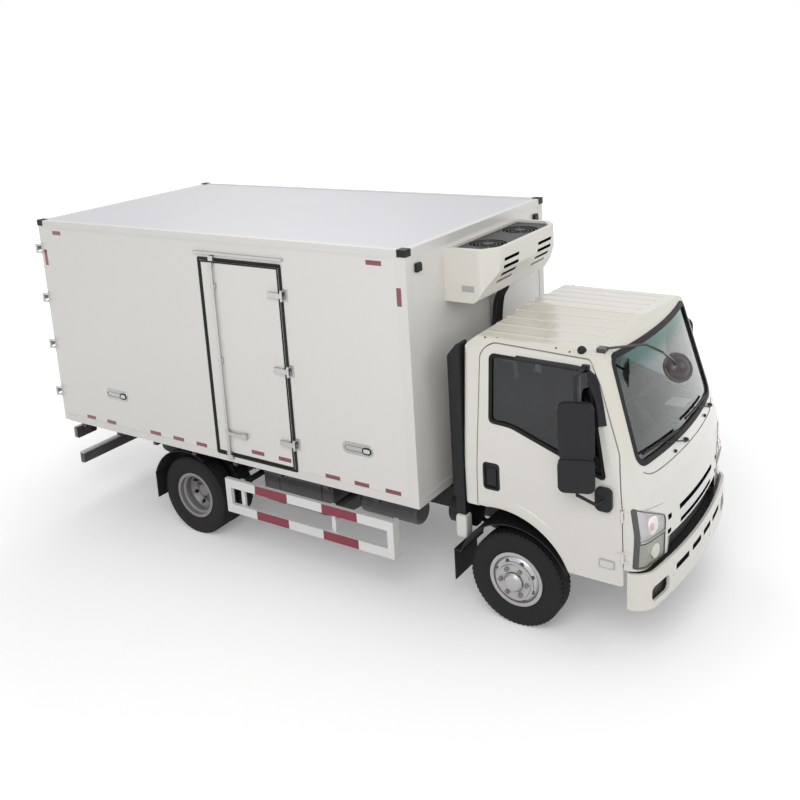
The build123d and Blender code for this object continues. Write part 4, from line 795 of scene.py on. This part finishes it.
def cab_finish(name, colour, inner):
    """Cab paint whose inner face is lining of another colour."""
    material = finish(name, colour, 0.22, coat=0.6, dust=0.12, splash=0.9, patch=2.0, grain=40.0,
                      depth=0.00012, dust_colour=(0.45, 0.42, 0.34))
    layer = material.node_tree.nodes.new("ShaderNodeGroup")
    layer.node_tree = lining
    layer.inputs["Wall"].default_value = lining_wall
    recolour(material, layer.outputs["Mask"], inner)
    return material


cab_cream = (0.69, 0.675, 0.625)
cab_paint = cab_finish("cab_paint", cab_cream, (0.055, 0.057, 0.060))
dress(cab_paint, "cab_shell", "cab_door_left", "cab_door_right")
dress(cab_finish("roof_paint", (0.69, 0.67, 0.585), (0.42, 0.42, 0.41)), "cab_roof")


def box_mask(tree, boxes):
    """1 inside any of several boxes of Object coordinates, each a (low, high) for X, Y and Z."""
    total = None
    for ranges in boxes:
        inside = None
        for axis, (low, high) in zip("XYZ", ranges):
            part = placed_mask(tree, axis, low, high)
            inside = part if inside is None else sum_node(tree, "MULTIPLY", inside, part)
        total = inside if total is None else sum_node(tree, "MAXIMUM", total, inside)
    return total


panel_paint = cab_finish("panel_paint", cab_cream, (0.05, 0.05, 0.05))
nose_zone = (front_axle + 0.5, front_axle + 1.3)
upper_slot, lower_slot = (1.011, 1.053), (0.897, 0.935)
# slot walls: (middle, half length, (low, high))
slot_walls = [(0.0, 0.397, upper_slot), (0.0, 0.373, lower_slot), (0.0, 0.592, (0.70, 0.881))]
slot_walls += [(side * 0.568, 0.029, slot) for side in (-1, 1) for slot in (upper_slot, lower_slot)]
openings = [(nose_zone, (middle - half, middle + half), slot) for middle, half, slot in slot_walls]
fluted = [(nose_zone, (-0.39, 0.39), (0.940, 1.006))]
recolour(panel_paint, box_mask(panel_paint.node_tree, fluted), (0.60, 0.61, 0.60))
# the walls of the grille's slots and of the mouth under them are painted near black, as the shade inside
# these openings
recolour(panel_paint, box_mask(panel_paint.node_tree, openings), (0.012, 0.012, 0.012))
dress(panel_paint, "front_panel")


# Mouldings of the cab: black rubber round the windscreen and the side windows, the dark panel gap
# under the windscreen, and the pressed lip of the wheel arch along each door's foot.
def right_side(flat, depth):
    """The cab's leaning right side: y is its half width at each height."""
    half = np.interp(flat[:, 1], level_heights, level_halves)
    return np.stack([flat[:, 0], depth - half, flat[:, 1]], -1)


def cab_front(flat, depth):
    """The cab's bowed front: a circle of radius reach about the bow's axis, and beyond its tangent
    point the round corner, x = centre + sqrt(radius^2 - (|y| - centre's y)^2)."""
    y, z = flat[:, 0], flat[:, 1]
    reach = np.interp(z, level_heights, level_fronts) + bow_back - depth
    half = np.interp(z, level_heights, level_halves) - depth
    radius = corner_turn - depth
    corner_y = half - radius
    corner_x = np.sqrt((reach - radius) ** 2 - corner_y ** 2)
    bow_x = np.sqrt(np.maximum(reach ** 2 - y ** 2, 0))
    over = np.abs(y) - corner_y
    round_x = corner_x + np.sqrt(np.maximum(radius ** 2 - over ** 2, 0))
    tangent = corner_y * reach / (reach - radius)
    return np.stack([bow_axis + np.where(np.abs(y) > tangent, round_x, bow_x), y, z], -1)


def dense(outline, gap=0.03, count=None):
    """Outline sampled at even steps of its length, a given count of them or one to each gap, so that a
    bent surface is followed."""
    closed = np.concatenate([outline, outline[:1]])
    way = np.concatenate([[0], np.cumsum(np.linalg.norm(np.diff(closed, axis=0), axis=1))])
    even = np.linspace(0, way[-1], count or int(way[-1] / gap), endpoint=False)
    return np.stack([np.interp(even, way, closed[:, i]) for i in (0, 1)], -1)


def bent_band(corners, width, place, near, far, gap=0.03):
    """Border on a bent surface: both edges are sampled evenly, at the same shares of their length."""
    outer = dense(rounded(corners, 8), gap)
    inner = dense(rounded(inset(corners, width), 8), count=len(outer))
    return between(outer, inner, place, near, far)


sides = ((-1, "right"), (1, "left"))
screen_corners = ((-0.852, 1.484, 0.100), (0.852, 1.484, 0.100), (0.798, 2.290, 0.080),
                  (-0.798, 2.290, 0.080))
window_corners = ((front_axle - 0.160, 1.686, 0.040), (front_axle + 0.020, 1.676, 0.260),
                  (front_axle + 0.450, 1.524, 0.260), (front_axle + 0.786, 1.402, 0.035),
                  (front_axle + 0.638, 2.208, 0.045), (front_axle - 0.160, 2.226, 0.045))
screen_rubber = [bent_band(screen_corners, 0.040, cab_front, 0.010, -0.004)]
made("windscreen_rubber", screen_rubber, "truck", seal_rubber)
for side, label in sides:
    border = bent_band(inset(window_corners, 0.0005), 0.026, right_side, 0.0165, 0.0030)
    border = border if side < 0 else mirrored(border)
    made(f"window_rubber_{label}", [border], f"cab_door_{label}", seal_rubber)
gap_line = np.stack([np.linspace(-0.80, 0.80, 60), 1.398 + 0.055 * np.linspace(-1, 1, 60) ** 12], -1)
gap_path = cab_front(gap_line, 0.0005)
arch_x, arch_z = -0.090, 0.420       # the arch's centre: ahead of the front axle, and its height


def arch_flare(radius, rise):
    """Edge of the wheel arch at a distance from its centre: a level run from the door's rear edge, then
    the arc (cos t, sin t) * radius; rise is how far the run stands above the arch's centre."""
    turn = np.linspace(np.radians(90), np.radians(19.5), 60)
    level_run = np.stack([np.linspace(-0.252, -0.095, 10), np.full(10, arch_z + rise)], -1)
    arc = np.stack([arch_x + radius * np.cos(turn), arch_z + radius * np.sin(turn)], -1)
    return np.concatenate([level_run, arc]) + np.array([front_axle, 0.0])


# section of the flare: (distance from the arch's centre, depth under the door's face)
flare_rows = ((0.5915, 0.004), (0.5915, -0.0035), (0.597, -0.0055), (0.640, -0.0050), (0.676, -0.0030),
              (0.684, 0.004))
for side, label in sides:
    rows = np.array([right_side(arch_flare(distance, distance), depth) for distance, depth in flare_rows])
    flare = sweep(rows.transpose(1, 0, 2))
    flare = flare if side < 0 else mirrored(flare)
    made(f"arch_flare_{label}", [flare], f"cab_door_{label}", cab_paint)
# near black for the panel gap under the windscreen, and as painted shade for the sheet behind the grille
seam_and_shade_dark = finish("seam_and_shade_dark", (0.02, 0.02, 0.02), 0.7, dust=0.0)
made("cowl_seam", [tube(gap_path, 0.0035, squash=0.8, steps=8)], "truck", seam_and_shade_dark)


# Glass: a clear windscreen with a green shade band along its top, and darker door windows. Both
# carry a faint smear, as noise in their roughness.
def glazing(name, colour, tint=None):
    """Clear sheet with a plain transmission; tint adds a shade band that sets in between two heights."""
    shade_low, shade_high = 2.06, 2.17
    material = bpy.data.materials.new(name)
    material.use_nodes = True
    tree = material.node_tree
    shader = tree.nodes["Principled BSDF"]
    shader.inputs["Base Color"].default_value = (*colour, 1)
    shader.inputs["Transmission Weight"].default_value = 1.0
    shader.inputs["IOR"].default_value = 1.45
    smear = noise_node(tree, object_place(tree), 7.0, 4.0)
    tree.links.new(sum_node(tree, "MULTIPLY", smear, 0.07), shader.inputs["Roughness"])
    if tint:
        shade = ramp_node(tree, object_axes(tree)["Z"], shade_low, shade_high)
        tree.links.new(blend_node(tree, shade, colour, tint), shader.inputs["Base Color"])
    return material


dress(glazing("windscreen_glass", (0.70, 0.77, 0.74), (0.06, 0.38, 0.28)), "cab_glass")
dress(glazing("door_window_glass", (0.15, 0.17, 0.19)), "door_glass_left", "door_glass_right")


# Black fittings of the cab: wind deflectors over the door windows, door handles in their pockets,
# roof plugs, wipers with the domes on their spindles, and the dark sheet behind the grille, which stands in
# for the shade there.
gloss_black = finish("gloss_black", (0.006, 0.005, 0.008), 0.18, coat=0.15, dust=0.03)
for dull in (seal_rubber, gloss_black):
    dull.node_tree.nodes["Principled BSDF"].inputs["Specular IOR Level"].default_value = 0.25
for side, label in sides:
    edge = curve_through([(x, -np.interp(z, level_heights, level_halves) - 0.010, z) for x, z in
                          ((2.000, 2.222), (2.250, 2.218), (2.500, 2.212), (2.590, 2.180), (2.640, 2.020),
                           (2.680, 1.820))])
    blade = tube(edge, 0.034, aside=(0.0, 0.35, -1.0), squash=0.13, steps=16)
    pocket_corners = box_corners(front_axle - 0.2015, front_axle - 0.0705, 1.1585, 1.3695, 0.024)
    rim = bent_band(inset(pocket_corners, -0.006), 0.016, right_side, 0.014, -0.0015, 0.012)
    dish = patch(dense(rounded(inset(pocket_corners, 0.001)), 0.012), right_side, 0.0175, 0.013)
    grip_corners = box_corners(front_axle - 0.178, front_axle - 0.094, 1.185, 1.330, 0.016)
    grip = patch(dense(rounded(grip_corners), 0.012), right_side, 0.014, 0.0015, 0.005)
    shapes = [rim, dish, grip]
    if side > 0:
        blade, shapes = mirrored(blade), [mirrored(shape) for shape in shapes]
    made(f"wind_deflector_{label}", [blade], f"cab_door_{label}", gloss_black)
    made(f"door_handle_{label}", shapes, f"cab_door_{label}", moulded_black)


def dome(centre, axis, radius, tall):
    """Half of an ellipsoid on a foot: rings at sines and cosines of the way up."""
    axis = np.array(axis, float) / np.linalg.norm(axis)
    first = np.cross(axis, (0.0, 1.0, 0.0) if abs(axis[1]) < 0.9 else (1.0, 0.0, 0.0))
    first /= np.linalg.norm(first)
    second = np.cross(axis, first)
    up = np.linspace(0, np.pi / 2 - 0.05, 8)[:, None, None]
    turn = np.linspace(0, 2 * np.pi, 24, endpoint=False)[None, :, None]
    rim = radius * (np.cos(turn) * first + np.sin(turn) * second)
    rings = np.array(centre) + rim * np.cos(up) + axis * tall * np.sin(up)
    foot = np.array(centre) + rim - axis * 0.004
    return sweep(np.concatenate([foot, rings]))


plugs = [dome((x, y, z), (0, -0.6, 1), 0.008, 0.004) for x, y, z in
         ((1.698, -0.823, 2.308), (1.792, -0.809, 2.309), (2.282, -0.832, 2.302), (2.393, -0.846, 2.292))]
large_dome = dome((2.478, -0.822, 2.303), (0, -0.5, 1), 0.034, 0.040)
plug_set = plugs + [large_dome] + [mirrored(plug) for plug in plugs]
made("roof_plugs", plug_set, "truck", moulded_black)

wipers = []
for y, head in ((-0.31, -0.10), (0.45, 0.66)):
    foot = cab_front(np.array([(y, 1.431)]), 0.0)[0]
    wipers.append(dome(foot, (1, 0, 0.35), 0.014, 0.020))
    base = cab_front(np.array([(head, 1.440)]), 0.0)[0]
    wipers.append(dome(base, (1, 0, 0.35), 0.020, 0.034))
    reach = np.stack([np.linspace(head, head - 0.36, 10), np.linspace(1.440, 1.560, 10)], -1)
    arm = cab_front(reach, -0.026)
    wipers.append(tube(arm, np.linspace(0.010, 0.006, 10), squash=0.5))
    reach = np.stack([np.linspace(head - 0.08, head - 0.66, 24), np.linspace(1.548, 1.572, 24)], -1)
    wipers.append(tube(cab_front(reach, -0.010), 0.008, squash=1.3))
    wipers.append(tube(cab_front(reach, -0.003), 0.003, squash=2.0))
made("wipers", wipers, "truck", moulded_black)

# near-black sheet behind the grille's slots and mouth: painted shade in place of the cream bulkhead
backing_depths = (0.060, 0.048)
backing = patch(dense(rounded(box_corners(-0.615, 0.615, 0.660, 1.10, 0.02))), cab_front, *backing_depths)
made("grille_backing", [backing], "truck", seam_and_shade_dark)


# Lamps of the cab: fluted headlamps with a dark rim and side strip, a grey bar across with a dark
# line under it as its painted shadow, a round bowl and bulb above it, the bulb pink as a painted
# highlight, and a lens below it, and a painted brow over the inner top corner; and a clear turn lamp in each
# door's foot.
reflector_bright = finish("reflector_bright", (0.40, 0.39, 0.40), 0.16, metal=0.8, coat=1.0, dust=0.05,
                          patch=12.0)
tree = reflector_bright.node_tree
flutes = tree.nodes.new("ShaderNodeTexWave")
flutes.bands_direction = "Y"
flutes.inputs["Scale"].default_value = 22
tree.links.new(object_place(tree), flutes.inputs["Vector"])
tree.links.new(flutes.outputs["Fac"], tree.nodes["grain"].inputs["Height"])
tree.nodes["grain"].inputs["Distance"].default_value = 0.002
dress(reflector_bright, "headlamps")
recolour(reflector_bright, placed_mask(tree, "Z", 0.0, 0.955), (0.26, 0.27, 0.22))


def cab_wrap(flat, depth):
    """The cab's front and round corner by the way s round it: on the bow the angle is s / reach, on the
    corner it turns on by s / radius up to 90 degrees, and from there the side runs straight back."""
    way, z = np.abs(flat[:, 0]), flat[:, 1]
    reach = np.interp(z, level_heights, level_fronts) + bow_back
    radius = corner_turn
    corner_y = np.interp(z, level_heights, level_halves) - radius
    corner_x = np.sqrt((reach - radius) ** 2 - corner_y ** 2)
    start = np.arcsin(corner_y / (reach - radius))
    bow_way = reach * start
    turned = start + np.clip((way - bow_way) / radius, 0, np.pi / 2 - start)
    side_way = np.maximum(way - bow_way - radius * (np.pi / 2 - start), 0)
    on_bow = way < bow_way
    angle = np.where(on_bow, way / reach, turned)
    x = np.where(on_bow, (reach - depth) * np.cos(angle),
                 corner_x + (radius - depth) * np.cos(angle) - side_way)
    y = np.where(on_bow, (reach - depth) * np.sin(angle), corner_y + (radius - depth) * np.sin(angle))
    return np.stack([bow_axis + x, np.sign(flat[:, 0]) * y, z], -1)


def lamp_line(start, stop, count=24):
    """Straight line across the lamp's flattened face."""
    return np.stack([np.linspace(start[0], stop[0], count), np.linspace(start[1], stop[1], count)], -1)


lamp_corners = ((-0.636, 0.752, 0.012), (-0.636, 1.078, 0.030), (-1.012, 1.256, 0.020),
                (-1.012, 0.776, 0.012))
lamp_rim = bent_band(lamp_corners, 0.010, cab_wrap, 0.003, -0.0025, 0.015)
side_strip = patch(dense(rounded(((-0.968, 0.782, 0.004), (-0.968, 1.228, 0.004), (-1.004, 1.244, 0.008),
                                  (-1.004, 0.782, 0.004))), 0.012), cab_wrap, 0.003, -0.0020)
lamp_bar = tube(cab_wrap(lamp_line((-0.644, 0.958), (-0.966, 0.982)), 0.001), 0.0115, squash=0.45)
# thin dark line just under the bar, in the housing's colour: the bar's painted shadow
bar_shade = tube(cab_wrap(lamp_line((-0.644, 0.940), (-0.966, 0.964)), 0.000), 0.0035)
housing = finish("lamp_housing", (0.035, 0.038, 0.036), 0.3, coat=0.6, dust=0.05)
bar_grey = finish("lamp_bar_grey", (0.36, 0.37, 0.33), 0.2, metal=0.5, coat=0.8, dust=0.05)
dark_parts = both([lamp_rim, side_strip, bar_shade])
made("headlamp_rims_and_bar_shadow", dark_parts, "truck", housing)
made("headlamp_bars", both([lamp_bar]), "truck", bar_grey)
brow = patch(dense(rounded(((-0.628, 1.074, 0.003), (-0.628, 1.162, 0.003), (-0.760, 1.178, 0.003),
                            (-0.862, 1.198, 0.003))), 0.012), cab_wrap, 0.003, -0.0008)
made("headlamp_brows", both([brow]), "truck", cab_paint)
bowl_silver = finish("bowl_silver", (0.62, 0.59, 0.59), 0.10, metal=0.9, coat=1.0, dust=0.0)
# the bulb's pink is a painted highlight
bulb_highlight_pink = finish("bulb_painted_highlight", (0.56, 0.36, 0.38), 0.12, metal=0.4, coat=1.0, dust=0.0)
low_bowl = finish("low_bowl", (0.46, 0.47, 0.40), 0.12, metal=0.9, coat=1.0, dust=0.05)
for name, way, z, radius, tall, material in (("headlamp_bowls", -0.820, 1.066, 0.070, 0.006, bowl_silver),
                                             ("headlamp_bulbs", -0.835, 1.062, 0.030, 0.014, bulb_highlight_pink),
                                             ("headlamp_low_lenses", -0.775, 0.852, 0.062, 0.010, low_bowl)):
    seat = cab_wrap(np.array([(way, z)]), 0.002)[0]
    eye = dome(seat, (1, -0.15 if way > -0.8 else -0.25, 0.1), radius, tall)
    made(name, both([eye]), "truck", material)
for side, label in sides:
    corners = box_corners(front_axle + 0.713, front_axle + 0.833, 0.735, 0.805, 0.012)
    lens_shape = patch(dense(rounded(inset(corners, 0.008)), 0.012), right_side, 0.002, -0.012, 0.005)
    rim = bent_band(corners, 0.009, right_side, 0.002, -0.006, 0.012)
    if side > 0:
        lens_shape, rim = mirrored(lens_shape), mirrored(rim)
    made(f"turn_lamp_{label}", [lens_shape], f"cab_door_{label}", clear_lens)
    made(f"turn_lamp_rim_{label}", [rim], f"cab_door_{label}", plate_grey)


# Bumper: a white moulding with a bowed face and round corners. What lies deeper than its skin in
# plan is painted near black as shade, and so are the walls of its slots, with a dark sheet behind each outer
# recess as the shade in it.
bumper_white = finish("bumper_white", (0.70, 0.68, 0.62), 0.28, coat=0.45, dust=0.25, splash=0.7,
                      dust_colour=(0.42, 0.39, 0.32))
bumper_front, bumper_fall = 1.165, 0.1045
bumper_half = 0.985
turn_x, turn_y, turn_radius = 0.923, 0.815, 0.170      # the round corner's centre and radius
skin_depth = 0.022
skin_shade_black = (0.014, 0.014, 0.014)
tree = bumper_white.node_tree
bumper_axes = object_axes(tree)
across = sum_node(tree, "ABSOLUTE", bumper_axes["Y"], 0.0)
bowed_front = sum_node(tree, "SUBTRACT", front_axle + bumper_front - skin_depth,
                       sum_node(tree, "MULTIPLY", sum_node(tree, "MULTIPLY", across, across), bumper_fall))
middle_part = sum_node(tree, "MULTIPLY", sum_node(tree, "GREATER_THAN", bowed_front, bumper_axes["X"]),
                       sum_node(tree, "LESS_THAN", across, 0.820))
side_part = sum_node(tree, "MULTIPLY", placed_mask(tree, "X", 0.0, front_axle + turn_x),
                     sum_node(tree, "LESS_THAN", across, bumper_half - skin_depth))
from_corner = sum_node(tree, "SUBTRACT", bumper_axes["X"], front_axle + turn_x)
beside_corner = sum_node(tree, "SUBTRACT", across, turn_y)
squares = sum_node(tree, "ADD", sum_node(tree, "MULTIPLY", from_corner, from_corner),
                   sum_node(tree, "MULTIPLY", beside_corner, beside_corner))
corner_part = sum_node(tree, "LESS_THAN", squares, (turn_radius - skin_depth) ** 2)
inside_skin = sum_node(tree, "MAXIMUM", sum_node(tree, "MAXIMUM", middle_part, side_part), corner_part)
# painted shade over all that lies deeper than the skin
recolour(bumper_white, inside_skin, skin_shade_black)
# slots: (middle across, middle up, half length, half height)
slot_rows = ((0.130, 0.626, 0.097, 0.024), (0.417, 0.618, 0.119, 0.024))
bumper_openings = [(nose_zone, (side * y - half, side * y + half), (z - tall, z + tall))
                   for side in (-1, 1) for y, z, half, tall in slot_rows]
# painted shade on the walls of the slots
recolour(bumper_white, box_mask(tree, bumper_openings), skin_shade_black)
dress(bumper_white, "bumper")


def recess(flat, depth):
    """Surface parallel to the bumper's bowed face, x = front - fall * y^2 - depth."""
    x = front_axle + bumper_front - bumper_fall * flat[:, 0] ** 2 - depth
    return np.stack([x, flat[:, 0], flat[:, 1]], -1)


# dark sheet in each outer recess: painted shade
recess_shade_sheet = patch(dense(rounded(box_corners(-0.915, -0.605, 0.475, 0.645, 0.02))), recess, *backing_depths)
recess_shade = finish("recess_shade", (0.030, 0.030, 0.026), 0.6, dust=0.3, splash=0.5)
made("bumper_recess_shade", both([recess_shade_sheet]), "truck", recess_shade)


# Inside the cab: a dark moulded dashboard with its steering wheel, two blank cards on it, and seats
# in dark cloth over foam, each cushion, back and head rest its own padded piece.
dress(finish("dash_grain", (0.048, 0.050, 0.054), 0.5, dust=0.2, splash=0.1, grain=350.0, depth=0.0005),
      "dashboard")
card_white = finish("card_white", (0.74, 0.74, 0.72), 0.6, dust=0.0)


def dash_top(flat, depth):
    """Level face on top of the dashboard; depth runs down."""
    return np.stack([flat[:, 0], flat[:, 1], np.full(len(flat), 1.442 - depth)], -1)


cards = [patch(rounded(box_corners(2.62, 2.78, y - 0.10, y + 0.10, 0.004)), dash_top, 0.0, -0.004)
         for y in (-0.62, 0.62)]
made("dash_cards", cards, "truck", card_white)

seat_cloth = finish("seat_cloth", (0.050, 0.052, 0.058), 0.85, dust=0.1, splash=0.1, grain=900.0,
                    depth=0.0008)
tree = seat_cloth.node_tree
weave = tree.nodes.new("ShaderNodeTexWave")
weave.inputs["Scale"].default_value = 90
tree.links.new(object_place(tree), weave.inputs["Vector"])
tree.links.new(weave.outputs["Fac"], tree.nodes["grain"].inputs["Height"])
tree.nodes["Principled BSDF"].inputs["Sheen Weight"].default_value = 0.3


def cushion(low, high, lean, crown):
    """Crowned closed form between two corners: a grid of angle round by way up, whose radius follows
    |cos|^n and |sin|^n for the outline, and whose faces swell by crown; lean slides it with height."""
    low, high = np.array(low), np.array(high)
    middle, half = (low + high) / 2, (high - low) / 2
    up = np.linspace(-np.pi / 2 + 0.02, np.pi / 2 - 0.02, 22)[:, None]
    turn = np.linspace(0, 2 * np.pi, 44, endpoint=False)[None, :]
    power = 0.32
    ring = np.abs(np.cos(up)) ** power
    x = np.sign(np.cos(turn)) * np.abs(np.cos(turn)) ** power * ring
    y = np.sign(np.sin(turn)) * np.abs(np.sin(turn)) ** power * ring
    z = np.broadcast_to(np.sign(np.sin(up)) * np.abs(np.sin(up)) ** power, x.shape)
    swell = 1 + crown * np.cos(x * 1.4) * np.cos(y * 1.4) * np.cos(z * 1.4) - crown
    places = np.stack([x * half[0] * swell + lean * z, y * half[1] * swell, z * half[2] * swell], -1)
    return sweep(middle + places)


# seats: (name, right edge, left edge, middles of the head rests)
seat_rows = (("driver", 0.215, 0.705, (0.46,)), ("bench", -0.705, 0.120, (-0.50, -0.11)))
first = True
for name, y0, y1, heads in seat_rows:
    base = cushion((front_axle - 0.20, y0 + 0.02, 1.021), (front_axle + 0.29, y1 - 0.02, 1.13), 0.0, 0.0)
    made(f"{name}_seat_base", [base], "truck", moulded_black)
    pads = [("cushion", (front_axle - 0.21, y0, 1.10), (front_axle + 0.325, y1, 1.262), 0.0, 0.06),
            ("back", (front_axle - 0.275, y0, 1.22), (front_axle - 0.150, y1, 1.79), -0.045, 0.06)]
    pads += [(f"head_rest_{i}", (front_axle - 0.298, y - 0.12, 1.795),
              (front_axle - 0.222, y + 0.12, 1.985), -0.004, 0.04) for i, y in enumerate(heads)]
    for label, low, high, lean, crown in pads:
        pad = made(f"{name}_{label}", [cushion(low, high, lean, crown)], "truck", seat_cloth)
        if first:
            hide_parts("seats")
            first = False


# Mirrors: black moulded heads with glass on the face towards the door, and a round mirror over the
# windscreen with a dark red-brown back.
dress(moulded_black, "mirror_left", "mirror_right")
mirror_glass = finish("mirror_glass", (0.75, 0.77, 0.78), 0.03, metal=1.0, dust=0.0)
mirror_turn = np.radians(20)
mirror_middle = (front_axle + 0.615, -1.118)


def mirror_face(flat, depth):
    """Inner face of a mirror head, turned about an upright line through its middle."""
    x, y = flat[:, 0], 0.0245 - depth
    return np.stack([mirror_middle[0] + x * np.cos(mirror_turn) - y * np.sin(mirror_turn),
                     mirror_middle[1] + x * np.sin(mirror_turn) + y * np.cos(mirror_turn), flat[:, 1]], -1)


faces_of_glass = [patch(rounded(box_corners(-0.108, 0.108, 1.622, 2.008, 0.045)), mirror_face, 0.001, -0.001),
                  patch(rounded(box_corners(-0.112, 0.104, 1.382, 1.594, 0.036)), mirror_face, 0.001, -0.001)]
made("mirror_right_glass", faces_of_glass, "cab_door_right", mirror_glass)
left_glass = [mirrored(shape) for shape in faces_of_glass]
made("mirror_left_glass", left_glass, "cab_door_left", mirror_glass)
round_finish = finish("round_mirror_finish", (0.010, 0.010, 0.012), 0.4, coat=0.4, dust=0.05)
round_middle = (front_axle + 1.064, -0.320, 2.090)
round_reach = 0.128
round_back = near_mask(round_finish.node_tree, round_middle, round_reach)
recolour(round_finish, round_back, (0.030, 0.018, 0.020))
dress(round_finish, "round_mirror")


# Washer bottle: white moulded plastic with soft corners, low down behind the right front wheel, next
# to the mudguard.
bottle_plastic = finish("bottle_plastic", (0.70, 0.70, 0.66), 0.4, dust=0.35, splash=0.9)
bottle = cushion((1.430, -0.945, 0.640), (1.530, -0.840, 0.840), 0.0, 0.0)
made("washer_bottle", [bottle], "truck", bottle_plastic)
